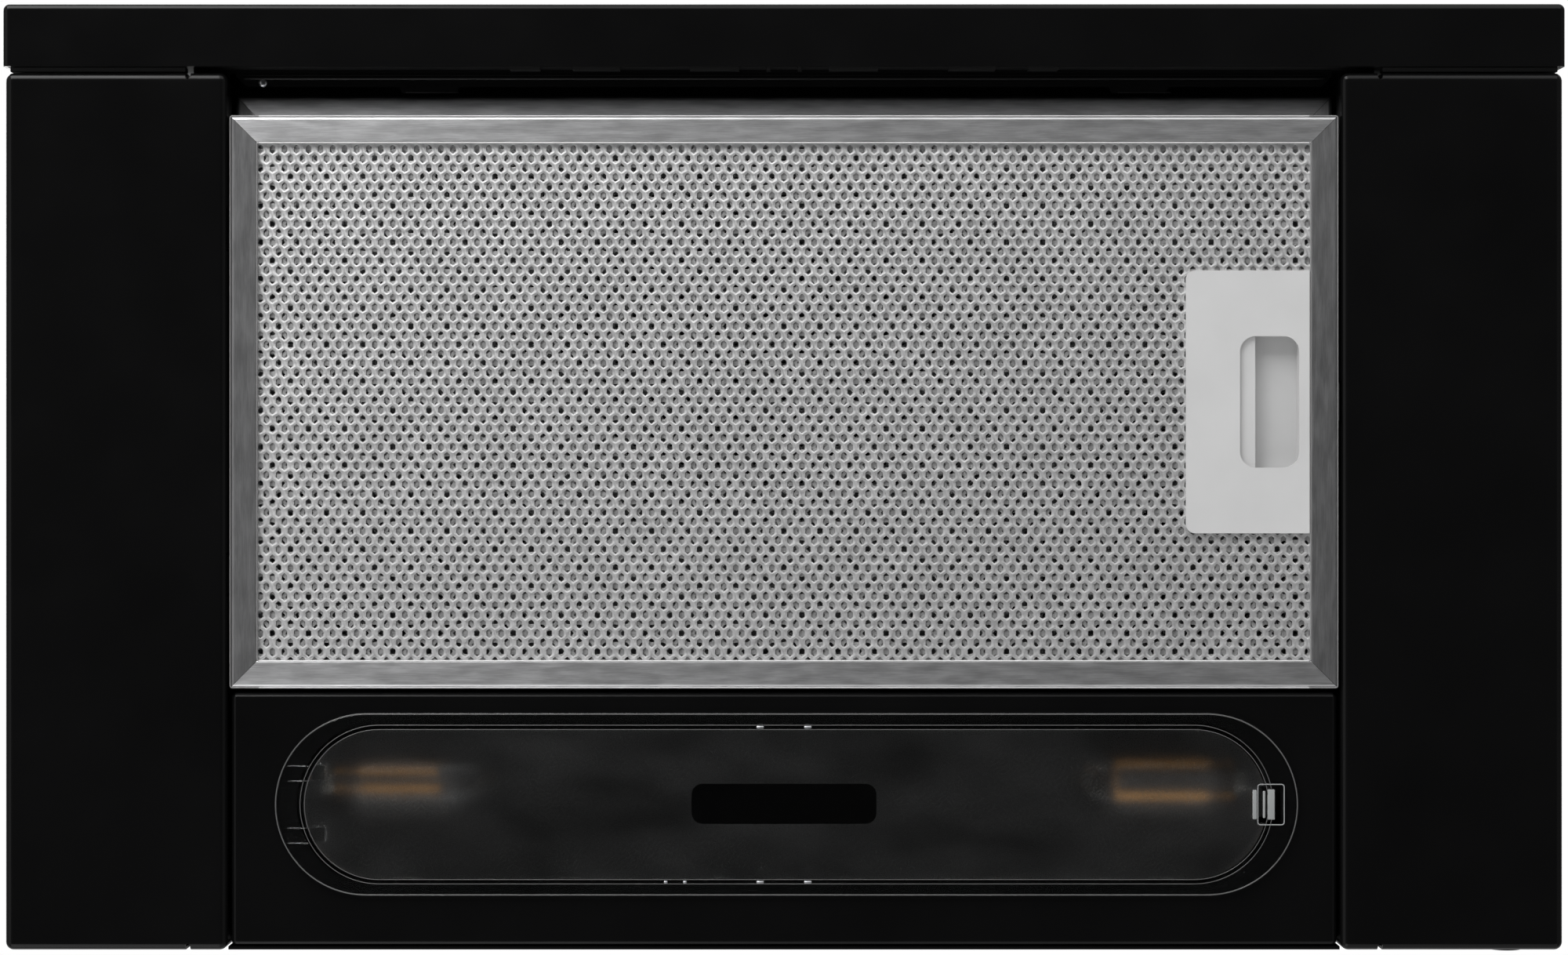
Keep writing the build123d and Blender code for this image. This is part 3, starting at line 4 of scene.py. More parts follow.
import bmesh
import bpy
from bpy.props import FloatProperty, FloatVectorProperty, IntProperty, PointerProperty
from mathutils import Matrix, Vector


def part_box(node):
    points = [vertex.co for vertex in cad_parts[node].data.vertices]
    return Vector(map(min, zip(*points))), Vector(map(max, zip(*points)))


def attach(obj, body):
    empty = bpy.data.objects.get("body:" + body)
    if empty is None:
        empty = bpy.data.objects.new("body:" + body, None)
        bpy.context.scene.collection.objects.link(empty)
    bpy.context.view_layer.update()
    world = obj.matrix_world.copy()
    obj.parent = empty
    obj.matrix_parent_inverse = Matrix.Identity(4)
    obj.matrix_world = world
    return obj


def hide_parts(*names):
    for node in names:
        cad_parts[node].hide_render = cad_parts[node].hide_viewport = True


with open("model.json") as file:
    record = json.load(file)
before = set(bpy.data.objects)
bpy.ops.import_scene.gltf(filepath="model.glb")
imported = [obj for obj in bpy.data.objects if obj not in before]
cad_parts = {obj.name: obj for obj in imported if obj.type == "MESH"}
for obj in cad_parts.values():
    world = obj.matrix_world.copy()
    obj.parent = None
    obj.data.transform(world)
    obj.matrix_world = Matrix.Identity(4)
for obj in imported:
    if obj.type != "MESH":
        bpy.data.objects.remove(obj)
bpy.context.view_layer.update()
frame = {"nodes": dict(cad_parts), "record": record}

bl_info = {
    "name": "Built-in Cooker Hood",
    "version": (1, 0, 0),
    "blender": (4, 5, 0),
    "location": "View3D > Sidebar > Hood",
    "description": "Finishes, filter mesh, lamps, fasteners and studio of a telescopic cooker hood",
    "category": "Add Mesh",
}

MM = 0.001
HAIR = 0.01 * MM
SHEET = 1.0 * MM
UP = (0, 0, 1)
DOWN = (0, 0, -1)
RING_STEPS = 96

# Filters: margin without foil, half the line at a mitre, reach of the side channels, rolled corner
FOIL_MARGIN = 6.5 * MM
MITRE = 0.13 * MM
CHANNEL = 9.5 * MM
ROLLED_CORNER = 0.7 * MM

# Lamps: middle of each strip, the strip's length, width and corner, and the span of X left bare
LAMP = (121.0 * MM, 100.0 * MM)
STRIP = (30.0 * MM, 8.0 * MM, 4.0 * MM)
BARE_SPAN = (-112.5 * MM, 37.5 * MM)

# Lamp cover: length, width and corner of the etched middle and of the clear window
ETCHED = (307.0 * MM, 47.5 * MM, 23.75 * MM)
WINDOW = (59.0 * MM, 12.9 * MM, 3.6 * MM)

# Lamp cover: length and width of its raised lines, its rim and the slot of its release clip
COVER_LINES = ((310.0 * MM, 50.6 * MM), (307.2 * MM, 47.8 * MM))
COVER_RIM = (325.6 * MM, 57.6 * MM)
CLIP_SLOT = (8.4 * MM, 12.9 * MM)

# Screws: rows on the housing's foot and on the roof, insets, and the turn from one to the next
FOOT_ROW = 110.0 * MM
FOOT_INSET = 4.4 * MM
FOOT_STEP = 40.0 * MM
ROOF_ROW = (240.0 * MM, 100.0 * MM)
COLLAR_INSET = 3.4 * MM
COLLAR_SHEET = 1.5 * MM
LID_INSET = 6.0 * MM
SMALL_SCREW = 0.8
SCREW_TURN = 1.1

# Drawer: rivet, folded tabs and pressed beads of the tray, and the round of the panel's rear edge
RIVET_RADIUS = 1.4 * MM
RIVET_PLACE = (-167.5 * MM, 4.2 * MM)
TAB_WIDTH = 17.0 * MM
TAB_SETBACK = 7.2 * MM
TAB_MIDDLES = {"left": -113.0 * MM, "right": 115.9 * MM}
TRAY_BEADS = ((1.7 * MM, 0.45 * MM), (2.6 * MM, 0.8 * MM))
TRAY_BEAD_LENGTH = 348.0 * MM
PANEL_ROUND = 0.28 * MM
PANEL_END = 2.0 * MM
BUFFER_HEIGHTS = (2.5 * MM, 8.0 * MM)


class HoodSizes(bpy.types.PropertyGroup):
    """Sizes of the pieces that are modelled here."""

    hole_pitch: FloatProperty(
        name="Hole Pitch", description="Distance between holes along a row of the filter mesh",
        default=3.84 * MM, unit="LENGTH")
    row_pitch: FloatProperty(
        name="Row Pitch", description="Distance between rows of holes",
        default=2.97 * MM, unit="LENGTH")
    hole_width: FloatProperty(
        name="Hole Width", description="Width of one hole, along its row",
        default=1.75 * MM, unit="LENGTH")
    hole_height: FloatProperty(
        name="Hole Height", description="Height of one hole, across its row",
        default=2.9 * MM, unit="LENGTH")
    crest_height: FloatProperty(
        name="Crest Height", description="How far the strands between two rows stand out",
        default=0.163 * MM, unit="LENGTH")
    foil: FloatProperty(
        name="Foil Thickness", description="Thickness of the expanded metal at a hole's edge",
        default=0.3 * MM, unit="LENGTH")
    screw_radius: FloatProperty(
        name="Screw Head Radius", description="Radius of the pan heads",
        default=3.4 * MM, unit="LENGTH")


class HoodColours(bpy.types.PropertyGroup):
    """Colours of the finishes."""

    enamel: FloatVectorProperty(
        name="Enamel", description="Black enamel of the sheet steel",
        default=(0.0034, 0.0034, 0.0035), subtype="COLOR")
    frame_metal: FloatVectorProperty(
        name="Frame Metal", description="Brushed metal of the filter frames",
        default=(0.80, 0.80, 0.81), subtype="COLOR")
    mesh_metal: FloatVectorProperty(
        name="Mesh Metal", description="Expanded aluminium of the filters",
        default=(0.97, 0.97, 0.97), subtype="COLOR")
    handle_grey: FloatVectorProperty(
        name="Handle Grey", description="Light grey plastic of the filter handles",
        default=(0.57, 0.57, 0.57), subtype="COLOR")
    phosphor: FloatVectorProperty(
        name="Phosphor", description="Coat of the lamps' strips",
        default=(0.85, 0.40, 0.07), subtype="COLOR")


class HoodStage(bpy.types.PropertyGroup):
    """Camera and lamps of the studio."""

    camera_drop: FloatProperty(
        name="Camera Drop", description="How far the camera hangs below the underside",
        default=1.193, unit="LENGTH")
    focal_length: FloatProperty(
        name="Focal Length", description="Lens of the camera",
        default=86.0, unit="CAMERA")
    key_power: FloatProperty(
        name="Key Power", description="Power of the long lamp below the front edge",
        default=19.0, unit="POWER")
    key_left_power: FloatProperty(
        name="Key Left Power", description="Power of the short lamp at the long one's left half",
        default=20.5, unit="POWER")
    fill_power: FloatProperty(
        name="Fill Power", description="Power of the long lamp below the rear edge",
        default=8.0, unit="POWER")
    fill_left_power: FloatProperty(
        name="Fill Left Power", description="Power of the short lamp at the rear one's left half",
        default=3.6, unit="POWER")
    left_power: FloatProperty(
        name="Left Power", description="Power of the lamp below the left side",
        default=5.2, unit="POWER")
    right_power: FloatProperty(
        name="Right Power", description="Power of the lamp below the right side",
        default=1.6, unit="POWER")
    top_power: FloatProperty(
        name="Top Power", description="Power of the lamp above the housing",
        default=30.0, unit="POWER")


# Selecting and editing, as by hand


def deselect_all():
    """Leave edit mode and drop every selection, because an operator acts on all that is selected."""
    if bpy.context.object is not None and bpy.context.object.mode != "OBJECT":
        bpy.ops.object.mode_set(mode="OBJECT")
    bpy.ops.object.select_all(action="DESELECT")


def pick(piece):
    """Make one object the only selected and active one."""
    deselect_all()
    piece.select_set(True)
    bpy.context.view_layer.objects.active = piece


def select_verts(piece, test):
    """In edit mode, select the vertices whose place passes a test."""
    mesh = bmesh.from_edit_mesh(piece.data)
    for vert in mesh.verts:
        vert.select_set(bool(test(vert.co)))
    mesh.select_flush_mode()
    bmesh.update_edit_mesh(piece.data)


def select_edges(piece, test):
    """In edit mode, select the edges both of whose ends pass a test."""
    mesh = bmesh.from_edit_mesh(piece.data)
    for edge in mesh.edges:
        edge.select_set(all(test(vert.co) for vert in edge.verts))
    bmesh.update_edit_mesh(piece.data)


def select_faces(piece, test):
    """In edit mode, select the faces that pass a test."""
    mesh = bmesh.from_edit_mesh(piece.data)
    for face in mesh.faces:
        face.select_set(bool(test(face)))
    bmesh.update_edit_mesh(piece.data)


def apply_modifier(piece, kind, **settings):
    """Add a modifier with its settings and apply it."""
    pick(piece)
    modifier = piece.modifiers.new(kind.title(), kind)
    for key, value in settings.items():
        setattr(modifier, key, value)
    bpy.ops.object.modifier_apply(modifier=modifier.name)


def copy_piece(piece, name):
    """Copy a piece, with its own mesh."""
    twin = piece.copy()
    twin.data = piece.data.copy()
    twin.name = name
    bpy.context.scene.collection.objects.link(twin)
    return twin


def join_pieces(pieces, name):
    """Join several pieces into one, at the origin."""
    deselect_all()
    for piece in pieces:
        piece.select_set(True)
    bpy.context.view_layer.objects.active = pieces[0]
    bpy.ops.object.join()
    joined = bpy.context.object
    joined.name = name
    return joined


def seat(piece, name, body, material, angle=35.0):
    """Put a finished piece's place into its mesh, smooth it, paint it and fix it to its body."""
    pick(piece)
    bpy.ops.object.transform_apply(location=True, rotation=True, scale=True)
    bpy.ops.object.shade_smooth_by_angle(angle=math.radians(angle))
    piece.name = name
    piece.data.name = name
    piece.data.materials.clear()
    piece.data.materials.append(material)
    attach(piece, body)
    return piece


# Node trees


class Tree:
    """Nodes that are being put together, with one method for each kind of step."""

    def __init__(self, node_tree):
        self.nodes = node_tree.nodes
        self.links = node_tree.links

    def feed(self, socket, value):
        """Link another node's output into a socket, or set the socket's own value."""
        if isinstance(value, bpy.types.NodeSocket):
            self.links.new(value, socket)
        else:
            socket.default_value = value

    def axes(self, vector):
        """The parts of a vector, by the axis's letter."""
        parts = self.nodes.new("ShaderNodeSeparateXYZ")
        self.links.new(vector, parts.inputs["Vector"])
        return parts.outputs

    def spread(self, factor, low, high, span=(0.3, 0.7)):
        """Map a span of a factor onto a range of numbers."""
        ranged = self.nodes.new("ShaderNodeMapRange")
        ranged.inputs["From Min"].default_value = span[0]
        ranged.inputs["From Max"].default_value = span[1]
        ranged.inputs["To Min"].default_value = low
        ranged.inputs["To Max"].default_value = high
        self.links.new(factor, ranged.inputs["Value"])
        return ranged.outputs["Result"]

    def math(self, operation, first, second=0.0):
        """One step of arithmetic on sockets or numbers."""
        step = self.nodes.new("ShaderNodeMath")
        step.operation = operation
        for socket, value in zip(step.inputs, (first, second)):
            self.feed(socket, value)
        return step.outputs["Value"]

    def lerp(self, factor, first, second):
        """Mix two numbers, each a socket or a plain number."""
        mix = self.nodes.new("ShaderNodeMix")
        mix.data_type = "FLOAT"
        self.links.new(factor, mix.inputs[0])
        self.feed(mix.inputs[2], first)
        self.feed(mix.inputs[3], second)
        return mix.outputs[0]

    def blend(self, factor, first, second):
        """Mix two colours, each a socket or three numbers."""
        mix = self.nodes.new("ShaderNodeMix")
        mix.data_type = "RGBA"
        self.links.new(factor, mix.inputs[0])
        for socket, value in ((mix.inputs[6], first), (mix.inputs[7], second)):
            self.feed(socket, value if isinstance(value, bpy.types.NodeSocket) else (*value, 1.0))
        return mix.outputs[2]


class Finish(Tree):
    """A material that is being built: its nodes, its shader and its object coordinates."""

    def __init__(self, name):
        self.material = bpy.data.materials.new(name)
        self.material.use_nodes = True
        super().__init__(self.material.node_tree)
        self.shader = self.nodes["Principled BSDF"]
        self.output = self.nodes["Material Output"]
        self.place = self.nodes.new("ShaderNodeTexCoord").outputs["Object"]

    def set(self, **values):
        """Set the shader's own sockets; a name's underscores stand for spaces."""
        for key, value in values.items():
            self.shader.inputs[key.replace("_", " ")].default_value = value
        return self

    def scaled(self, scale):
        """Object coordinates stretched along each axis."""
        mapping = self.nodes.new("ShaderNodeMapping")
        mapping.inputs["Scale"].default_value = scale
        self.links.new(self.place, mapping.inputs["Vector"])
        return mapping.outputs["Vector"]

    def noise(self, scale, detail=2.0, roughness=0.5, stretch=(1.0, 1.0, 1.0)):
        """Noise whose scale is in features per metre."""
        texture = self.nodes.new("ShaderNodeTexNoise")
        texture.inputs["Scale"].default_value = scale
        texture.inputs["Detail"].default_value = detail
        texture.inputs["Roughness"].default_value = roughness
        self.links.new(self.scaled(stretch), texture.inputs["Vector"])
        return texture.outputs["Fac"]

    def cells(self, scale):
        """Random grey of Voronoi cells, as on galvanised sheet."""
        texture = self.nodes.new("ShaderNodeTexVoronoi")
        texture.inputs["Scale"].default_value = scale
        self.links.new(self.place, texture.inputs["Vector"])
        grey = self.nodes.new("ShaderNodeSeparateColor")
        self.links.new(texture.outputs["Color"], grey.inputs["Color"])
        return grey.outputs["Red"]

    def from_low(self, axis, low):
        """How far a point is beyond a place on one axis."""
        return self.math("SUBTRACT", self.axes(self.place)[axis], low)

    def inside(self, axis, low, high):
        """How far a point is inside a span of one axis, from the nearer end."""
        off = self.math("ABSOLUTE", self.from_low(axis, (low + high) / 2))
        return self.math("SUBTRACT", (high - low) / 2, off)

    def scale_colour(self, colour, factor):
        """A colour times a number from a socket."""
        scale = self.nodes.new("ShaderNodeVectorMath")
        scale.operation = "SCALE"
        scale.inputs[0].default_value = colour
        self.links.new(factor, scale.inputs["Scale"])
        return scale.outputs["Vector"]

    def into(self, socket, value):
        """Link a value into one of the shader's sockets."""
        self.links.new(value, self.shader.inputs[socket])

    def mixed(self, factor, first, second):
        """Mix two shaders' first outputs."""
        mix = self.nodes.new("ShaderNodeMixShader")
        self.links.new(factor, mix.inputs[0])
        self.links.new(first.outputs[0], mix.inputs[1])
        self.links.new(second.outputs[0], mix.inputs[2])
        return mix

    def shade_beyond(self, reach, colour):
        """Paint shade: turn the base colour into another, darker one farther than a distance from the
        hood's middle.
        """
        before = self.shader.inputs["Base Color"].links[0].from_socket
        off = self.math("ABSOLUTE", self.from_low("X", 0.0))
        beyond = self.spread(off, 0.0, 1.0, (reach, reach + 0.3 * MM))
        self.into("Base Color", self.blend(beyond, before, colour))
        return self.material

    def let_light_through(self, surface, tint):
        """Let the light of lamps pass a clear surface, tinted, in place of a full shadow."""
        path = self.nodes.new("ShaderNodeLightPath")
        clear = self.nodes.new("ShaderNodeBsdfTransparent")
        clear.inputs["Color"].default_value = (*tint, 1.0)
        passed = self.mixed(path.outputs["Is Shadow Ray"], surface, clear)
        self.links.new(passed.outputs[0], self.output.inputs["Surface"])

    def bump(self, height, depth):
        """Bump of a depth in metres, on top of any bump set before."""
        bump = self.nodes.new("ShaderNodeBump")
        bump.inputs["Strength"].default_value = 1.0
        bump.inputs["Distance"].default_value = depth
        self.links.new(height, bump.inputs["Height"])
        before = self.shader.inputs["Normal"].links
        if before:
            self.links.new(before[0].from_socket, bump.inputs["Normal"])
        self.into("Normal", bump.outputs["Normal"])


def tinted(colour, factor):
    """A colour made lighter or darker."""
    return tuple(min(1.0, channel * factor) for channel in colour)


def mottled(finish, colour, amount, scale, detail=3.0):
    """Give a finish a base colour that varies a little."""
    patch = finish.spread(finish.noise(scale, detail), 0.0, 1.0)
    finish.into("Base Color", finish.blend(patch, tinted(colour, 1 - amount), tinted(colour, 1 + amount)))


def enamel(colour):
    """Smooth black enamel with the faint ripple of sprayed paint."""
    finish = Finish("black_enamel").set(Metallic=0.0, Specular_IOR_Level=0.22)
    mottled(finish, colour, 0.12, 14.0)
    finish.into("Roughness", finish.spread(finish.noise(45.0, 3.0), 0.20, 0.27))
    finish.bump(finish.noise(620.0, 2.0), 0.004 * MM)
    finish.bump(finish.noise(90.0, 1.0), 0.02 * MM)
    return finish.material


def moulded(name, colour, roughness, grain_depth, grain_scale=2600.0):
    """Moulded plastic with a fine eroded grain."""
    finish = Finish(name).set(Specular_IOR_Level=0.4)
    mottled(finish, colour, 0.05, 30.0)
    finish.into("Roughness", finish.spread(finish.noise(140.0, 3.0), roughness - 0.04, roughness + 0.04))
    finish.bump(finish.noise(grain_scale, 2.0), grain_depth)
    return finish


def brushed_frame(name, colour, low, high, front_shade):
    """Brushed metal of a mitred frame, with a thin line at each mitre, a painted shadow towards its front
    edge, and painted light and shade on its side members.
    """
    finish = Finish(name).set(Metallic=1.0, Anisotropic=0.75)
    from_side = finish.inside("X", low.x, high.x)
    from_end = finish.inside("Y", low.y, high.y)
    side = finish.math("LESS_THAN", from_side, from_end)
    strokes = finish.lerp(
        side,
        finish.noise(1.0, 3.0, 0.6, stretch=(150.0, 2600.0, 2600.0)),
        finish.noise(1.0, 3.0, 0.6, stretch=(2600.0, 150.0, 2600.0)),
    )
    clouds = finish.lerp(
        side,
        finish.noise(1.0, 3.0, 0.55, stretch=(90.0, 420.0, 420.0)),
        finish.noise(1.0, 3.0, 0.55, stretch=(420.0, 90.0, 420.0)),
    )
    tone = finish.spread(finish.math("ADD", strokes, clouds), 0.84, 1.12, (0.75, 1.25))
    # Painted light: the side members are made a little lighter to make up for the weaker light they get
    tone = finish.math("MULTIPLY", tone, finish.lerp(side, 1.0, 1.06))
    off_mitre = finish.math("ABSOLUTE", finish.math("SUBTRACT", from_side, from_end))
    mitre = finish.math("LESS_THAN", off_mitre, MITRE)
    tone = finish.math("MULTIPLY", tone, finish.lerp(mitre, 1.0, 0.45))
    # Painted shade: the outer rim of the side members is darkened to damp the highlight of the side lamps
    rim = finish.math("MULTIPLY", side, finish.spread(from_side, 1.0, 0.0, (0.6 * MM, 1.4 * MM)))
    tone = finish.math("MULTIPLY", tone, finish.lerp(rim, 1.0, 0.4))
    # Painted shadow: the colour falls to front_shade towards the front edge
    shade = finish.spread(finish.from_low("Y", low.y), front_shade, 1.0, (0.0, 8 * MM))
    finish.into("Base Color", finish.scale_colour(colour, finish.math("MULTIPLY", tone, shade)))
    rough = finish.spread(clouds, 0.34, 0.38)
    finish.into("Roughness", finish.math("ADD", rough, finish.lerp(side, 0.0, 0.08)))
    finish.bump(strokes, 0.003 * MM)
    direction = finish.nodes.new("ShaderNodeCombineXYZ")
    finish.links.new(side, direction.inputs["X"])
    finish.links.new(finish.math("SUBTRACT", 1.0, side), direction.inputs["Y"])
    across = finish.nodes.new("ShaderNodeVectorTransform")
    across.vector_type = "VECTOR"
    across.convert_from = "OBJECT"
    across.convert_to = "WORLD"
    finish.links.new(direction.outputs["Vector"], across.inputs["Vector"])
    finish.into("Tangent", across.outputs["Vector"])
    return finish.material


def expanded_foil(name, colour):
    """Bright expanded aluminium, a little crumpled by the stretching."""
    finish = Finish(name).set(Metallic=1.0)
    mottled(finish, colour, 0.06, 60.0)
    finish.into("Roughness", finish.spread(finish.noise(500.0, 2.0), 0.47, 0.58))
    finish.bump(finish.noise(900.0, 2.0), 0.06 * MM)
    return finish.material


def galvanised(colour):
    """Galvanised sheet with its spangle."""
    finish = Finish("housing_steel").set(Metallic=1.0)
    spangle = finish.cells(110.0)
    finish.into("Base Color", finish.blend(spangle, tinted(colour, 0.8), tinted(colour, 1.15)))
    finish.into("Roughness", finish.spread(spangle, 0.3, 0.48, (0.0, 1.0)))
    finish.bump(finish.noise(260.0, 2.0), 0.02 * MM)
    return finish.material


def zinc_plate(name, colour):
    """Bright zinc plate with drawing marks along the sheet."""
    finish = Finish(name).set(Metallic=1.0)
    mottled(finish, colour, 0.08, 24.0)
    finish.into("Roughness", finish.spread(finish.noise(70.0, 3.0), 0.22, 0.36))
    finish.bump(finish.noise(1.0, 2.0, stretch=(1900.0, 16.0, 1900.0)), 0.003 * MM)
    return finish


def rounded_distance(finish, centre, length, width, radius, mirrored=False):
    """Distance of a point outside a rectangle with round corners, or two of them mirrored in X."""
    square = 0.0
    for axis, middle, size in (("X", centre[0], length), ("Y", centre[1], width)):
        off = finish.from_low(axis, 0.0)
        if mirrored and axis == "X":
            off = finish.math("ABSOLUTE", off)
        off = finish.math("ABSOLUTE", finish.math("SUBTRACT", off, middle))
        off = finish.math("MAXIMUM", finish.math("SUBTRACT", off, size / 2 - radius), 0.0)
        square = finish.math("ADD", finish.math("MULTIPLY", off, off), square)
    return finish.math("SUBTRACT", finish.math("SQRT", square), radius)


def lamp_cover_plastic():
    """Clear polycarbonate, etched on its middle except for a polished window, with a painted glow over the
    lamps.
    """
    low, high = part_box("lamp_cover")
    middle = ((low.x + high.x) / 2 - 0.5 * MM, (low.y + high.y) / 2)
    finish = Finish("clear_cover").set(Transmission_Weight=1.0, IOR=1.45, Specular_IOR_Level=0.5)
    in_middle = finish.math("LESS_THAN", rounded_distance(finish, middle, *ETCHED), 0.0)
    window = rounded_distance(finish, (0.0, middle[1] - 0.2 * MM), *WINDOW)
    etched = finish.math("MULTIPLY", in_middle, finish.math("GREATER_THAN", window, 0.0))
    speckle = finish.noise(3600.0, 3.0)
    rough = finish.math("MULTIPLY", etched, finish.spread(speckle, 0.16, 0.22))
    finish.into("Roughness", finish.math("ADD", rough, 0.09))
    cloud = finish.spread(finish.noise(30.0, 2.0, 0.6, stretch=(0.7, 1.4, 1.0)), 0.0, 1.0, (0.35, 0.68))
    frosted = finish.blend(cloud, (0.44, 0.445, 0.445), (0.62, 0.625, 0.625))
    finish.into("Base Color", finish.blend(etched, (0.95, 0.96, 0.96), frosted))
    finish.bump(finish.math("MULTIPLY", etched, speckle), 0.004 * MM)
    veil = finish.nodes.new("ShaderNodeBsdfDiffuse")
    veil.inputs["Color"].default_value = (0.9, 0.9, 0.9, 1.0)
    # Painted glow: the white veil of the etched part thickens over the lamps' strips, though the lamps are
    # off
    lamps = rounded_distance(finish, LAMP, *STRIP, mirrored=True)
    glow = finish.spread(lamps, 1.0, 0.0, (0.0, 9.0 * MM))
    glow = finish.math("MULTIPLY", finish.math("MULTIPLY", glow, glow), 0.014)
    haze_and_painted_glow = finish.math("ADD", finish.spread(cloud, 0.002, 0.008, (0.0, 1.0)), glow)
    surface = finish.mixed(finish.math("MULTIPLY", etched, haze_and_painted_glow), finish.shader, veil)
    finish.let_light_through(surface, (0.8, 0.8, 0.8))
    return finish.material


def lamp_glass_clear():
    """Thin clear glass of the lamps."""
    finish = Finish("lamp_glass").set(Transmission_Weight=1.0, IOR=1.45, Roughness=0.02)
    mottled(finish, (0.96, 0.96, 0.96), 0.02, 40.0)
    finish.bump(finish.noise(120.0, 1.0), 0.02 * MM)
    finish.let_light_through(finish.shader, (0.9, 0.9, 0.9))
    return finish.material


def phosphor_coat(colour):
    """Orange coat of the lamps' strips, with the chips showing as faint dots and a faint painted glow,
    though the lamps are off.
    """
    finish = Finish("filament").set(Roughness=0.45)
    coated = finish.math("LESS_THAN", finish.inside("X", *BARE_SPAN), 0.0)
    # Painted glow of the coated strips, weaker on the strip nearer the front
    painted_glow_strength = finish.spread(finish.from_low("Y", LAMP[1]), 0.13, 0.42, (-6.0 * MM, 0.0))
    finish.into("Emission Strength", finish.math("MULTIPLY", painted_glow_strength, coated))
    finish.shader.inputs["Emission Color"].default_value = (*colour, 1.0)
    dots = finish.noise(1.0, 1.0, stretch=(700.0, 200.0, 200.0))
    coat = finish.blend(finish.spread(dots, 0.0, 1.0), tinted(colour, 0.8), colour)
    finish.into("Base Color", finish.blend(coated, (0.05, 0.05, 0.05), coat))
    finish.bump(dots, 0.1 * MM)
    return finish.material


def cap_metal():
    """Nickelled brass of the lamp caps."""
    finish = Finish("lamp_cap").set(Metallic=1.0)
    mottled(finish, (0.70, 0.68, 0.63), 0.06, 120.0)
    finish.into("Roughness", finish.spread(finish.noise(300.0, 2.0), 0.2, 0.34))
    return finish.material


def make_finishes(colours):
    """Every finish by the record's slot, and some more for single nodes and pieces."""
    main_frame = (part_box("main_filter_frame_left")[0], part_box("main_filter_frame_right")[1])
    drawer_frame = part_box("drawer_filter_frame")
    edge = main_frame[1].x
    painted_shade_black = (0.01, 0.01, 0.01)
    zinc = (0.62, 0.63, 0.65)
    handle = (colours.handle_grey, 0.5, 0.004 * MM, 1500.0)
    rolled = moulded("frame_edge", (0.8, 0.8, 0.8), 0.75, 0.002 * MM).set(Metallic=1.0)
    return {
        "black_enamel": enamel(colours.enamel),
        "housing_steel": galvanised((0.50, 0.51, 0.53)),
        "zinc_steel": zinc_plate("zinc_steel", zinc).material,
        # Past the frame's edge, under the side panels, the tabs and the latch's nose are painted black as
        # shade
        "tab_steel": zinc_plate("tab_steel", zinc).shade_beyond(edge, painted_shade_black),
        # Along the side members the rolled edges turn a darker grey: painted shade, as less light falls on
        # them there
        "frame_edge": rolled.shade_beyond(edge - CHANNEL, (0.42, 0.42, 0.42)),
        "filter_frame": brushed_frame("filter_frame", colours.frame_metal, *main_frame, 1.0),
        # The drawer filter's frame is painted 0.9 as light and falls to 0.3 towards its front: painted
        # shade where the drawer's tray keeps the light off
        "drawer_frame": brushed_frame("drawer_frame", tinted(colours.frame_metal, 0.9), *drawer_frame, 0.3),
        "filter_mesh": expanded_foil("filter_mesh", colours.mesh_metal),
        # A darker copy of the mesh metal for the lower layers: painted shade
        "filter_mesh_deep": expanded_foil("filter_mesh_deep", tinted(colours.mesh_metal, 0.72)),
        "grey_plastic": moulded("grey_plastic", *handle).material,
        "latch_plastic": moulded("latch_plastic", *handle).shade_beyond(edge, painted_shade_black),
        "black_plastic": moulded("black_plastic", (0.012, 0.012, 0.012), 0.42, 0.012 * MM).material,
        "white_plastic": moulded("white_plastic", (0.72, 0.72, 0.70), 0.36, 0.004 * MM).material,
        "nylon": moulded("nylon", (0.74, 0.72, 0.66), 0.4, 0.005 * MM).material,
        "rubber": moulded("rubber", (0.014, 0.014, 0.014), 0.72, 0.012 * MM, 1800.0).material,
        "clear_cover": lamp_cover_plastic(),
        # Opaque grey that stands in for the light caught by the clip's clear edges: painted highlight
        "clear_edge": moulded("clear_edge", (0.30, 0.31, 0.31), 0.3, 0.002 * MM).material,
        # Opaque dim grey that stands in for the light caught by the clear cover's lines and rim: painted
        # highlight
        "clear_rim": moulded("clear_rim", (0.10, 0.10, 0.10), 0.25, 0.002 * MM).material,
        "lamp_glass": lamp_glass_clear(),
        "filament": phosphor_coat(colours.phosphor),
        "lamp_cap": cap_metal(),
    }


FINISHES = {}
NODE_FINISHES = {
    "drawer_filter_frame": "drawer_frame",
    "main_filter_tabs": "tab_steel",
    "main_filter_latch": "latch_plastic",
    "front_clips": "black_plastic",
}


def paint_nodes():
    """Give each CAD node the finish of its slot, or the one that is named for it."""
    for row in frame["record"]["subparts"]:
        finish = FINISHES[NODE_FINISHES.get(row["node"], row["material_slot"])]
        for slot in frame["nodes"][row["node"]].material_slots:
            slot.material = finish


# The expanded metal of the filters


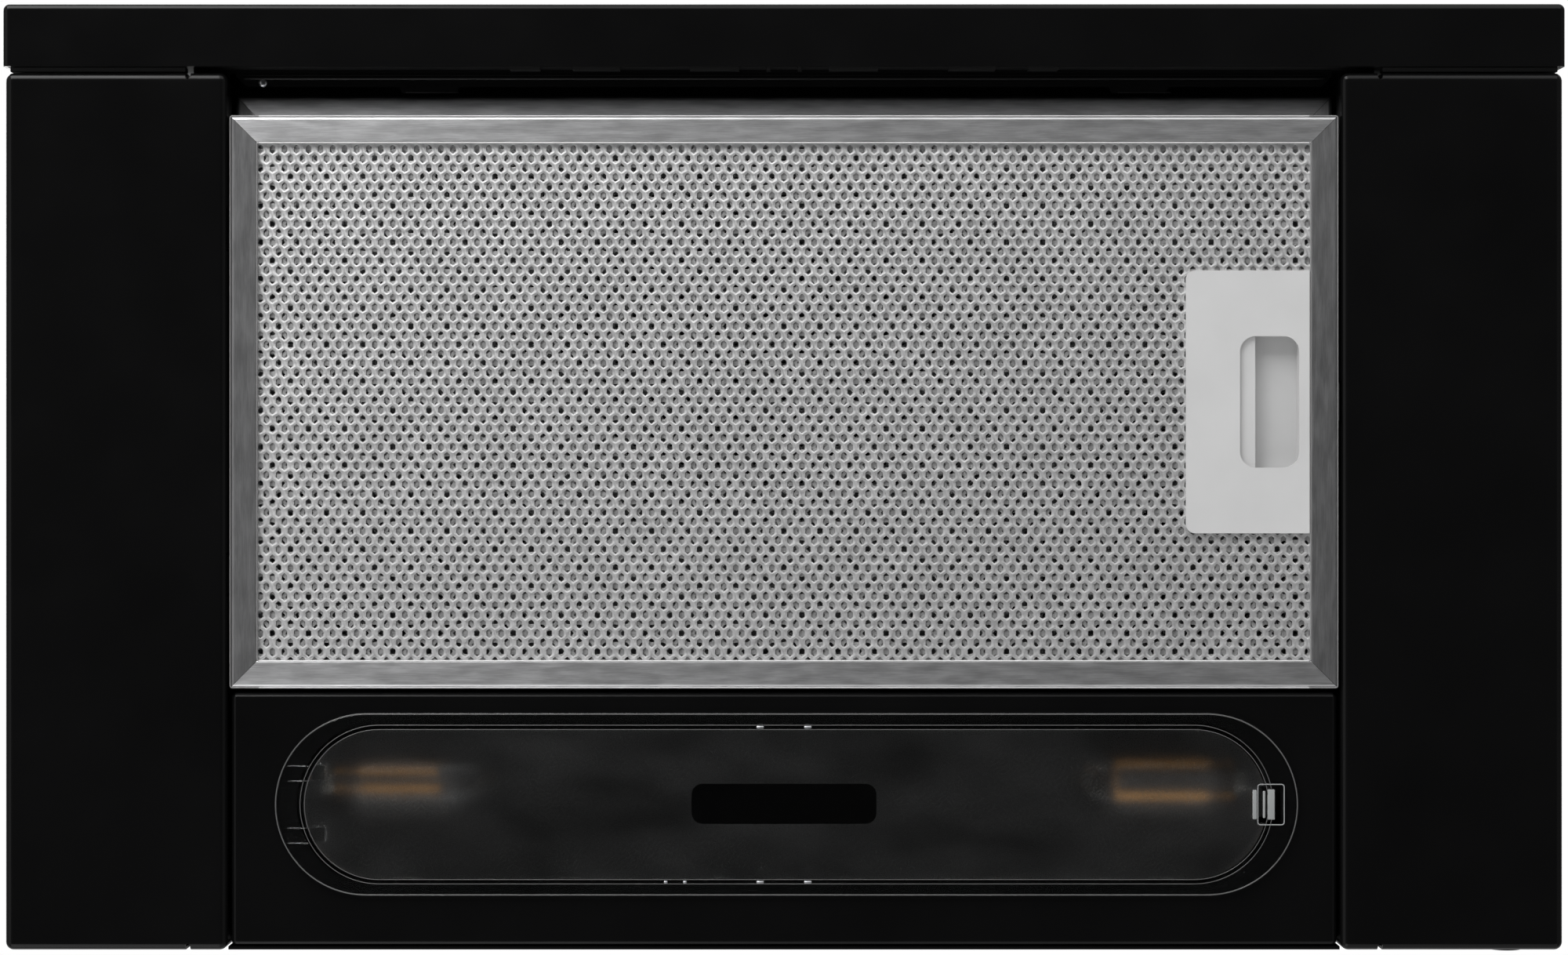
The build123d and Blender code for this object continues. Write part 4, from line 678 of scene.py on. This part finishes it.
def foil_cell(sizes, fine):
    """One hole of the expanded metal with its strands, crests down, modelled once.

    It is one open skin with the hole's wall. Known fault: its faces point up, to the back.
    """
    deselect_all()
    bpy.ops.mesh.primitive_circle_add(vertices=6, radius=sizes.hole_height / 2, fill_type="NOTHING")
    cell = bpy.context.object
    hole_x = sizes.hole_width / 2
    hole_y = sizes.hole_height / 2
    cell_x = sizes.hole_pitch / 2
    cell_y = sizes.row_pitch / 1.5  # rows of hexagons interlock by a third of their pitch
    bpy.ops.object.mode_set(mode="EDIT")
    bpy.ops.mesh.select_mode(type="VERT")
    bpy.ops.mesh.select_all(action="SELECT")
    bpy.ops.transform.resize(value=(hole_x / (hole_y * math.cos(math.radians(30))), 1.0, 1.0))
    rings = [(cell_x, cell_y, 1.0)]
    if fine:
        rings.insert(0, ((hole_x + cell_x) / 2, (hole_y + cell_y) / 2, 0.15))
    at_x, at_y, at_rise = hole_x, hole_y, 0.0
    for ring_x, ring_y, rise in rings:
        step = (0.0, 0.0, (at_rise - rise) * sizes.crest_height)
        bpy.ops.mesh.extrude_region_move(TRANSFORM_OT_translate={"value": step})
        bpy.ops.transform.resize(value=(ring_x / at_x, ring_y / at_y, 1.0), center_override=(0.0, 0.0, 0.0))
        at_x, at_y, at_rise = ring_x, ring_y, rise
    # The strand between two neighbours of a row lies lower than the crest between two rows
    bpy.ops.mesh.select_mode(type="EDGE")
    select_edges(cell, lambda at: abs(abs(at.x) - cell_x) < HAIR)
    bpy.ops.mesh.subdivide(number_cuts=2)
    bpy.ops.mesh.select_mode(type="VERT")
    select_verts(cell, lambda at: abs(abs(at.x) - cell_x) < HAIR and abs(at.y) < cell_y * 0.3)
    bpy.ops.transform.translate(value=(0.0, 0.0, sizes.crest_height * 0.85))
    # The hole's edge gets the foil's thickness
    bpy.ops.mesh.select_mode(type="EDGE")
    select_edges(cell, lambda at: abs(at.x) < hole_x + HAIR and at.z > -HAIR)
    bpy.ops.mesh.extrude_region_move(TRANSFORM_OT_translate={"value": (0.0, 0.0, sizes.foil)})
    bpy.ops.mesh.select_all(action="SELECT")
    bpy.ops.mesh.normals_make_consistent(inside=False)
    bpy.ops.object.mode_set(mode="OBJECT")
    return cell


def foil_sheet(sizes, x_span, y_span, bottom, fine):
    """A sheet of expanded metal that fills a rectangle; bottom is the height of its crests."""
    cell = foil_cell(sizes, fine)
    columns = math.ceil((x_span[1] - x_span[0]) / sizes.hole_pitch) + 1
    row_pairs = math.ceil((y_span[1] - y_span[0]) / sizes.row_pitch / 2) + 1
    shifts = (
        (2, (sizes.hole_pitch / 2, sizes.row_pitch, 0.0)),
        (columns, (sizes.hole_pitch, 0.0, 0.0)),
        (row_pairs, (0.0, 2 * sizes.row_pitch, 0.0)),
    )
    for count, offset in shifts:
        apply_modifier(
            cell, "ARRAY", count=count, use_relative_offset=False, use_constant_offset=True,
            constant_offset_displace=offset, use_merge_vertices=True, merge_threshold=HAIR)
    cell.location = (x_span[0], y_span[0], bottom + sizes.crest_height)
    bpy.ops.object.transform_apply(location=True, rotation=False, scale=False)
    bpy.ops.object.mode_set(mode="EDIT")
    for centre, normal in (
        ((x_span[1], 0, 0), (1, 0, 0)),
        ((x_span[0], 0, 0), (-1, 0, 0)),
        ((0, y_span[1], 0), (0, 1, 0)),
        ((0, y_span[0], 0), (0, -1, 0)),
    ):
        bpy.ops.mesh.select_all(action="SELECT")
        bpy.ops.mesh.bisect(plane_co=centre, plane_no=normal, clear_outer=True)
    bpy.ops.object.mode_set(mode="OBJECT")
    return cell


def cut_window(sheet, x_from, y_mid, half_length):
    """Remove the expanded metal behind the latch and its pocket."""
    pick(sheet)
    bpy.ops.object.mode_set(mode="EDIT")
    bpy.ops.mesh.select_mode(type="FACE")

    def behind(face):
        at = face.calc_center_median()
        return at.x > x_from and abs(at.y - y_mid) < half_length

    select_faces(sheet, behind)
    bpy.ops.mesh.delete(type="FACE")
    bpy.ops.object.mode_set(mode="OBJECT")


def filter_foil(prefix, body, sizes, layers):
    """The expanded metal of one filter, layer by layer, in the place of its CAD plate."""
    low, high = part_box(prefix + "_mesh")
    x_span = (low.x + FOIL_MARGIN, high.x - FOIL_MARGIN)
    y_span = (low.y + FOIL_MARGIN, high.y - FOIL_MARGIN)
    handle_low, handle_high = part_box(prefix + "_handle")
    y_mid = (handle_low.y + handle_high.y) / 2
    for number, lift in enumerate(layers):
        fine = number == 0 and prefix == "main_filter"
        if number % 2:
            sheet = foil_sheet(sizes, y_span, x_span, low.z + lift, fine)
            sheet.rotation_euler = (0.0, 0.0, math.radians(90))
            bpy.ops.object.transform_apply(location=False, rotation=True, scale=False)
            sheet.location = (x_span[1] + x_span[0], 0.0, 0.0)
            bpy.ops.object.transform_apply(location=True, rotation=False, scale=False)
        else:
            sheet = foil_sheet(sizes, x_span, y_span, low.z + lift, fine)
        cut_window(sheet, handle_low.x + 3 * MM, y_mid, (handle_high.y - handle_low.y) / 2 - 5 * MM)
        name = f"{prefix}_foil_{number + 1}"
        # Layers below the first take the darker copy of the mesh metal, as painted shade
        finish = FINISHES["filter_mesh_deep" if number else "filter_mesh"]
        seat(sheet, name, body, finish, 50.0)
    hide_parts(prefix + "_mesh")


# Screws and rivets


def pan_head(radius):
    """A pan head, standing on the plane z = 0 and looking up.

    Known fault: its cross recess does not come out. The cutter's arms are extruded with a face
    still selected, so its faces double, and the cut leaves slits that differ from run to run.
    """
    deselect_all()
    bpy.ops.mesh.primitive_cylinder_add(
        vertices=32, radius=radius, depth=radius * 0.62, end_fill_type="NGON",
        location=(0, 0, radius * 0.31))
    head = bpy.context.object
    bpy.ops.object.transform_apply(location=True)
    bpy.ops.object.mode_set(mode="EDIT")
    bpy.ops.mesh.select_mode(type="FACE")
    select_faces(head, lambda face: face.normal.z > 0.9)
    bpy.ops.mesh.bevel(offset=radius * 0.34, segments=4, profile=0.5, affect="EDGES")
    bpy.ops.object.mode_set(mode="OBJECT")
    bpy.ops.mesh.primitive_plane_add(size=1.0, location=(0, 0, 0))
    cross = bpy.context.object
    bpy.ops.object.mode_set(mode="EDIT")
    bpy.ops.mesh.select_all(action="SELECT")
    bpy.ops.transform.resize(value=(radius * 0.26, radius * 0.26, 1.0))
    bpy.ops.mesh.select_mode(type="EDGE")
    for axis, sign in ((0, 1), (0, -1), (1, 1), (1, -1)):
        select_edges(cross, lambda at, a=axis, d=sign: abs(at[a] * d - radius * 0.13) < HAIR / 10)
        arm = [0.0, 0.0, 0.0]
        arm[axis] = sign * radius * 0.42
        bpy.ops.mesh.extrude_region_move(TRANSFORM_OT_translate={"value": arm})
    bpy.ops.mesh.select_all(action="SELECT")
    bpy.ops.mesh.extrude_region_move(TRANSFORM_OT_translate={"value": (0, 0, -radius * 0.3)})
    bpy.ops.mesh.select_all(action="SELECT")
    bpy.ops.transform.translate(value=(0, 0, radius * 0.64))
    bpy.ops.mesh.normals_make_consistent(inside=False)
    bpy.ops.object.mode_set(mode="OBJECT")
    apply_modifier(head, "BOOLEAN", object=cross, operation="DIFFERENCE", solver="EXACT")
    bpy.data.objects.remove(cross, do_unlink=True)
    return head


def dome(radius):
    """A rivet's low dome, standing on the plane z = 0 and looking up."""
    deselect_all()
    bpy.ops.mesh.primitive_uv_sphere_add(segments=32, ring_count=16, radius=radius)
    head = bpy.context.object
    bpy.ops.object.mode_set(mode="EDIT")
    bpy.ops.mesh.select_all(action="SELECT")
    bpy.ops.mesh.bisect(plane_co=(0, 0, 0), plane_no=(0, 0, -1), clear_outer=True, use_fill=True)
    bpy.ops.mesh.select_all(action="SELECT")
    bpy.ops.transform.resize(value=(1.0, 1.0, 0.55), center_override=(0.0, 0.0, 0.0))
    bpy.ops.object.mode_set(mode="OBJECT")
    return head


def set_fasteners(pattern, name, places, looking, body, slot):
    """Copy a head to its places, looking up or down and each turned a bit further, as one piece."""
    turn = Vector(UP).rotation_difference(Vector(looking)).to_euler()
    heads = []
    for number, place in enumerate(places):
        head = copy_piece(pattern, name)
        head.rotation_euler = turn
        head.location = place
        pick(head)
        bpy.ops.object.transform_apply(location=True, rotation=True, scale=False)
        bpy.ops.object.mode_set(mode="EDIT")
        bpy.ops.mesh.select_all(action="SELECT")
        turn_on = number * SCREW_TURN
        bpy.ops.transform.rotate(value=turn_on, orient_axis="Z", center_override=place)
        bpy.ops.object.mode_set(mode="OBJECT")
        heads.append(head)
    bpy.data.objects.remove(pattern, do_unlink=True)
    return seat(join_pieces(heads, name), name, body, FINISHES[slot], 30.0)


def bead(name, length, radius, place, body, slot):
    """Half-sunk round bead along X, with rounded ends."""
    deselect_all()
    bpy.ops.mesh.primitive_cylinder_add(
        vertices=24, radius=radius, depth=length, end_fill_type="NGON", location=place,
        rotation=(0.0, math.radians(90), 0.0))
    piece = bpy.context.object
    bpy.ops.object.mode_set(mode="EDIT")
    bpy.ops.mesh.select_mode(type="FACE")
    select_faces(piece, lambda face: abs(face.normal.z) > 0.9)
    bpy.ops.mesh.bevel(offset=radius * 0.6, segments=3, affect="EDGES")
    bpy.ops.object.mode_set(mode="OBJECT")
    return seat(piece, name, body, FINISHES[slot])


def soft_block(name, low, high, radius, body, finish):
    """Block between two corners, with rounded edges."""
    deselect_all()
    middle = (Vector(low) + Vector(high)) / 2
    bpy.ops.mesh.primitive_cube_add(size=1.0, location=middle)
    block = bpy.context.object
    block.scale = Vector(high) - Vector(low)
    bpy.ops.object.transform_apply(location=True, rotation=False, scale=True)
    apply_modifier(block, "BEVEL", width=radius, segments=3, limit_method="NONE")
    return seat(block, name, body, FINISHES[finish])


def rounded_ring(name, size, corner, radius, place, body, finish):
    """Thin round line along a rectangle with round corners, or along a stadium."""
    deselect_all()
    # Half a step of turn keeps every vertex off the axes, where the quarters are pulled apart
    half_step = (0.0, 0.0, math.pi / RING_STEPS)
    bpy.ops.mesh.primitive_torus_add(
        major_segments=RING_STEPS, minor_segments=12, major_radius=corner, minor_radius=radius,
        rotation=half_step)
    ring = bpy.context.object
    bpy.ops.object.transform_apply(rotation=True)
    bpy.ops.object.mode_set(mode="EDIT")
    bpy.ops.mesh.select_mode(type="VERT")
    for axis in (0, 1):
        for side in (-1, 1):
            select_verts(ring, lambda at, a=axis, sign=side: at[a] * sign > 0)
            step = [0.0, 0.0, 0.0]
            step[axis] = side * (size[axis] / 2 - corner)
            bpy.ops.transform.translate(value=step)
    bpy.ops.object.mode_set(mode="OBJECT")
    ring.location = place
    return seat(ring, name, body, FINISHES[finish], 60.0)


# Studio


FLOOR_PLACE = (0.0, 0.0, -4.0)
FLOOR_RADIUS = 40.0
FLOOR_GLOW = 0.45
WORLD_LIGHT = 0.35


def add_lamp(name, power, place, target, size):
    """Soft rectangular lamp that points at a target and doesn't show itself."""
    lamp = bpy.data.lights.new(name, "AREA")
    lamp.shape = "RECTANGLE"
    lamp.size, lamp.size_y = size
    lamp.energy = power
    holder = bpy.data.objects.new(name, lamp)
    bpy.context.scene.collection.objects.link(holder)
    holder.location = place
    holder.rotation_euler = (Vector(target) - Vector(place)).to_track_quat("-Z", "Y").to_euler()
    holder.visible_camera = False


def pale_world():
    """White to the camera and above the hood in reflections, dim below it, as in a studio."""
    world = bpy.data.worlds.new("studio")
    bpy.context.scene.world = world
    world.use_nodes = True
    tree = Tree(world.node_tree)
    background = tree.nodes["Background"].inputs
    background["Strength"].default_value = 1.0
    direction = tree.axes(tree.nodes.new("ShaderNodeTexCoord").outputs["Generated"])
    height = tree.spread(direction["Z"], 0.05, 1.0, (-0.25, 0.35))
    lengthways = tree.spread(tree.math("ABSOLUTE", direction["Y"]), 0.1, 1.0, (0.0, 1.0))
    reflected = tree.math("MULTIPLY", height, lengthways)
    ray = tree.nodes.new("ShaderNodeLightPath").outputs
    mirrored = tree.math("MAXIMUM", ray["Is Glossy Ray"], ray["Is Transmission Ray"])
    unseen = tree.lerp(mirrored, WORLD_LIGHT, reflected)
    tree.links.new(tree.math("MAXIMUM", unseen, ray["Is Camera Ray"]), background["Color"])


def pale_floor():
    """Wide pale floor far below the hood, which hangs above it."""
    deselect_all()
    bpy.ops.mesh.primitive_circle_add(
        vertices=64, radius=FLOOR_RADIUS, fill_type="NGON", location=FLOOR_PLACE)
    floor = bpy.context.object
    floor.name = "floor"
    bpy.ops.object.transform_apply(location=True)
    finish = Finish("floor").set(Roughness=0.8)
    mottled(finish, (0.84, 0.84, 0.84), 0.01, 2.0)
    glow = finish.nodes.new("ShaderNodeEmission")
    glow.inputs["Color"].default_value = (1.0, 1.0, 1.0, 1.0)
    path = finish.nodes.new("ShaderNodeLightPath")
    share = finish.math("MULTIPLY", path.outputs["Is Camera Ray"], FLOOR_GLOW)
    finish.links.new(share, glow.inputs["Strength"])
    both = finish.nodes.new("ShaderNodeAddShader")
    finish.links.new(finish.shader.outputs[0], both.inputs[0])
    finish.links.new(glow.outputs[0], both.inputs[1])
    finish.links.new(both.outputs[0], finish.output.inputs["Surface"])
    floor.data.materials.append(finish.material)
    floor.visible_glossy = False
    floor.visible_transmission = False


class HoodOperator(bpy.types.Operator):
    """What the hood's operators share."""

    bl_options = {"REGISTER", "UNDO"}


class HOOD_OT_stage(HoodOperator):
    """Set up the camera below the hood, its lamps, the pale floor and the white world"""

    bl_idname = "hood.stage"
    bl_label = "Studio"

    def execute(self, context):
        stage = context.scene.hood_stage
        camera_data = bpy.data.cameras.new("camera")
        camera_data.lens = stage.focal_length
        camera_data.clip_end = 200.0
        camera = bpy.data.objects.new("camera", camera_data)
        context.scene.collection.objects.link(camera)
        camera.location = (0.0, 0.0, -stage.camera_drop)
        camera.rotation_euler = (math.pi, 0.0, 0.0)
        context.scene.camera = camera
        context.scene.view_settings.view_transform = "Standard"
        pale_world()
        pale_floor()
        middle = (0.0, 0.0, 0.0)
        left_half = (-0.3, 0.0, 0.0)
        housing = (0.0, 0.0, 0.1)
        for name, place, target, size in (
            ("key", (0.0, -1.45, -0.85), middle, (3.0, 1.4)),
            ("key_left", (-0.78, -1.46, -0.86), left_half, (0.95, 1.4)),
            ("fill", (0.0, 1.45, -0.82), middle, (3.0, 1.4)),
            ("fill_left", (-0.6, 1.46, -0.83), left_half, (0.95, 1.4)),
            ("left", (-1.5, 0.0, -0.8), middle, (2.4, 1.3)),
            ("right", (1.5, 0.0, -0.8), middle, (2.4, 1.3)),
            ("top", (-0.5, -0.8, 1.8), housing, (1.6, 1.6)),
        ):
            add_lamp(name, getattr(stage, name + "_power"), place, target, size)
        return {"FINISHED"}


class HOOD_OT_finishes(HoodOperator):
    """Make every finish and give it to the hood's own parts"""

    bl_idname = "hood.finishes"
    bl_label = "Finishes"

    def execute(self, context):
        FINISHES.update(make_finishes(context.scene.hood_colours))
        paint_nodes()
        return {"FINISHED"}


class HOOD_OT_filter_foil(HoodOperator):
    """Model the layers of expanded metal in both grease filters"""

    bl_idname = "hood.filter_foil"
    bl_label = "Filter Mesh"

    def execute(self, context):
        sizes = context.scene.hood_sizes
        filter_foil("main_filter", "main_filter", sizes, (0.2 * MM, 0.9 * MM, 1.7 * MM))
        filter_foil("drawer_filter", "drawer", sizes, (0.2 * MM, 1.4 * MM))
        return {"FINISHED"}


class HOOD_OT_frame_edges(HoodOperator):
    """Model the bright rolled edges of the main filter's frame, with painted shade along its side members
    """

    bl_idname = "hood.frame_edges"
    bl_label = "Frame Edges"

    def execute(self, context):
        left, right, front, rear = (
            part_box("main_filter_frame_" + side) for side in ("left", "right", "front", "rear"))
        edges = (
            ("frame_inner_edge", 0.28 * MM, 1, (left[1].x, right[0].x), (front[1].y, rear[0].y)),
            ("frame_outer_edge", 0.22 * MM, -1, (left[0].x, right[1].x), (front[0].y, rear[1].y)),
        )
        for name, radius, way, x_span, y_span in edges:
            size = [high - low + 2 * way * radius for low, high in (x_span, y_span)]
            place = (sum(x_span) / 2, sum(y_span) / 2, left[0].z + radius)
            rounded_ring(
                name, size, ROLLED_CORNER, radius, place, "main_filter", "frame_edge")
        return {"FINISHED"}


class HOOD_OT_screws(HoodOperator):
    """Set the screws of the housing frame, the duct collar, the terminal box and the roof"""

    bl_idname = "hood.screws"
    bl_label = "Screws"

    def execute(self, context):
        radius = context.scene.hood_sizes.screw_radius
        low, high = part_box("housing_frame")
        top = low.z + SHEET
        x_far = high.x - FOOT_INSET
        y_near, y_far = low.y + FOOT_INSET, high.y - FOOT_INSET
        foot = [(x, y, top) for x in (-FOOT_ROW, 0.0, FOOT_ROW) for y in (y_near, y_far)]
        foot += [(x, y, top) for x in (-x_far, x_far) for y in (y_near + FOOT_STEP, y_far - FOOT_STEP)]
        low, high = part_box("duct_collar")
        ring = (high.x - low.x) / 2 - COLLAR_INSET
        y_mid = (low.y + high.y) / 2
        angles = [math.radians(45 + 90 * step) for step in range(4)]
        collar = [
            (ring * math.cos(angle), y_mid + ring * math.sin(angle), low.z + COLLAR_SHEET)
            for angle in angles
        ]
        low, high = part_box("terminal_box_lid")
        lid = [
            (low.x + LID_INSET, low.y + LID_INSET, high.z),
            (high.x - LID_INSET, high.y - LID_INSET, high.z),
        ]
        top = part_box("slab_shell")[1].z
        x_far, y_far = ROOF_ROW
        roof = [(x, y, top) for x in (-x_far, x_far) for y in (-y_far, 0.0, y_far)]
        for name, scale, places in (
            ("housing_screws", 1.0, foot),
            ("collar_screws", SMALL_SCREW, collar),
            ("lid_screws", SMALL_SCREW, lid),
            ("roof_screws", 1.0, roof),
        ):
            set_fasteners(pan_head(radius * scale), name, places, UP, "body", "zinc_steel")
        return {"FINISHED"}


class HOOD_OT_rivet(HoodOperator):
    """Set the domed rivet of the drawer tray"""

    bl_idname = "hood.rivet"
    bl_label = "Tray Rivet"

    def execute(self, context):
        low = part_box("drawer_tray")[0]
        place = (RIVET_PLACE[0], low.y + RIVET_PLACE[1], low.z)
        set_fasteners(dome(RIVET_RADIUS), "tray_rivet", [place], DOWN, "drawer", "zinc_steel")
        return {"FINISHED"}


class HOOD_OT_beads(HoodOperator):
    """Press the beads of the drawer tray and of its tabs, and round the front panel's rear edge"""

    bl_idname = "hood.beads"
    bl_label = "Drawer Beads"

    def execute(self, context):
        low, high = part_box("front_panel")
        length = high.x - low.x - 2 * PANEL_END
        place = (0.0, high.y - PANEL_ROUND, low.z + PANEL_ROUND)
        bead("panel_edge_bead", length, PANEL_ROUND, place, "drawer", "black_enamel")
        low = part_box("drawer_tray")[0]
        for side, x in TAB_MIDDLES.items():
            place = (x, low.y + TAB_SETBACK, low.z)
            bead(side + "_tab_bead", TAB_WIDTH, 0.2 * MM, place, "drawer", "black_enamel")
        for number, (setback, radius) in enumerate(TRAY_BEADS):
            place = (0.0, low.y + setback, low.z + 0.1 * MM)
            bead(f"tray_bead_{number + 1}", TRAY_BEAD_LENGTH, radius, place, "drawer", "black_enamel")
        return {"FINISHED"}


class HOOD_OT_buffers(HoodOperator):
    """Glue the two rubber strips behind the front panel, which close its gap to the side panels; their
    black also stands in for the shade in that gap
    """

    bl_idname = "hood.buffers"
    bl_label = "Panel Buffers"

    def execute(self, context):
        panel_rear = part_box("front_panel")[1].y
        tray_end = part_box("drawer_tray")[1].x + 1 * MM
        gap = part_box("left_side_panel")[0].y - panel_rear
        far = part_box("right_side_panel")[1].x - 1.2 * MM
        bottom, top = BUFFER_HEIGHTS
        # Dark strips in the gap: partly rubber, partly painted shade where the gap would open to the
        # background
        for name, x_from, x_to in (("left_buffer", -far, -tray_end), ("right_buffer", tray_end, far)):
            low = (x_from, panel_rear + HAIR, bottom)
            high = (x_to, panel_rear + 0.8 * gap, top)
            soft_block(name, low, high, 0.35 * MM, "drawer", "rubber")
        return {"FINISHED"}


class HOOD_OT_cover_lines(HoodOperator):
    """Raise the fine lines, the rim and the ribs on the lamp cover's face and set its catch pins"""

    bl_idname = "hood.cover_lines"
    bl_label = "Cover Lines"

    def execute(self, context):
        low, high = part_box("lamp_cover")
        middle = (low + high) / 2
        rings = [(f"cover_line_{n + 1}", size, 0.13 * MM, 0.08 * MM) for n, size in enumerate(COVER_LINES)]
        rings.append(("cover_rim", COVER_RIM, 0.22 * MM, 0.2 * MM))
        # The lines and the rim are real edges in a dim opaque grey, painted highlight of the clear plastic
        for name, size, radius, rise in rings:
            place = (middle.x, middle.y, low.z + rise)
            rounded_ring(name, size, size[1] / 2, radius, place, "cover", "clear_rim")
        for number, offset in enumerate((-12.3, -7.5, 7.5, 12.3)):
            place = (low.x + 7.6 * MM, middle.y + offset * MM, low.z + 0.05 * MM)
            bead(f"cover_rib_{number + 1}", 7.0 * MM, 0.15 * MM, place, "cover", "clear_cover")
        # X, distance from the middle line and length of each pin, in millimetres
        pins = [(x, 24.7, 1.2) for x in (-37.7, -31.6)]
        pins += [(x, side * 24.7, 2.4) for x in (-7.6, 7.6) for side in (-1, 1)]
        for number, (x, offset, length) in enumerate(pins):
            place = (x * MM, middle.y + offset * MM, low.z + 0.25 * MM)
            bead(f"cover_pin_{number + 1}", length * MM, 0.45 * MM, place, "cover", "zinc_steel")
        return {"FINISHED"}


class HOOD_OT_release_clip(HoodOperator):
    """Model the bright edges of the release clip and of its slot in the lamp cover; their grey is painted
    highlight
    """

    bl_idname = "hood.release_clip"
    bl_label = "Release Clip"

    def execute(self, context):
        low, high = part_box("lamp_cover")
        y_mid = (low.y + high.y) / 2
        place = (high.x - 8.7 * MM, y_mid, low.z + 0.1 * MM)
        rounded_ring(
            "clip_slot_edge", CLIP_SLOT, 0.9 * MM, 0.18 * MM, place, "cover", "clear_edge")
        # Both sides of each bar, from the cover's end, and half its length, in millimetres
        bars = ((-14.6, -13.2, 4.7), (-11.3, -10.5, 4.3), (-9.8, -7.5, 4.8))
        for number, (x_from, x_to, half) in enumerate(bars):
            near = (high.x + x_from * MM, y_mid - half * MM, low.z - 0.15 * MM)
            far = (high.x + x_to * MM, y_mid + half * MM, low.z + 0.9 * MM)
            soft_block(f"clip_bar_{number + 1}", near, far, 0.3 * MM, "cover", "clear_edge")
        return {"FINISHED"}


class HOOD_PT_panel(bpy.types.Panel):
    """The hood's operators, in the order that they are used"""

    bl_idname = "HOOD_PT_panel"
    bl_label = "Cooker Hood"
    bl_space_type = "VIEW_3D"
    bl_region_type = "UI"
    bl_category = "Hood"

    def draw(self, context):
        for operator in OPERATORS:
            self.layout.operator(operator.bl_idname)


GROUPS = (HoodSizes, HoodColours, HoodStage)
OPERATORS = (
    HOOD_OT_stage,
    HOOD_OT_finishes,
    HOOD_OT_filter_foil,
    HOOD_OT_frame_edges,
    HOOD_OT_screws,
    HOOD_OT_rivet,
    HOOD_OT_beads,
    HOOD_OT_buffers,
    HOOD_OT_cover_lines,
    HOOD_OT_release_clip,
)


def register():
    """Register the classes and hang the settings on the scene."""
    for group in GROUPS + OPERATORS + (HOOD_PT_panel,):
        bpy.utils.register_class(group)
    bpy.types.Scene.hood_sizes = PointerProperty(type=HoodSizes)
    bpy.types.Scene.hood_colours = PointerProperty(type=HoodColours)
    bpy.types.Scene.hood_stage = PointerProperty(type=HoodStage)


def unregister():
    """Take the settings and the classes away again."""
    del bpy.types.Scene.hood_stage
    del bpy.types.Scene.hood_colours
    del bpy.types.Scene.hood_sizes
    for group in reversed(GROUPS + OPERATORS + (HOOD_PT_panel,)):
        bpy.utils.unregister_class(group)


def main():
    """Build the whole scene."""
    register()
    for operator in OPERATORS:
        group, name = operator.bl_idname.split(".")
        getattr(getattr(bpy.ops, group), name)()


if __name__ == "__main__":
    main()
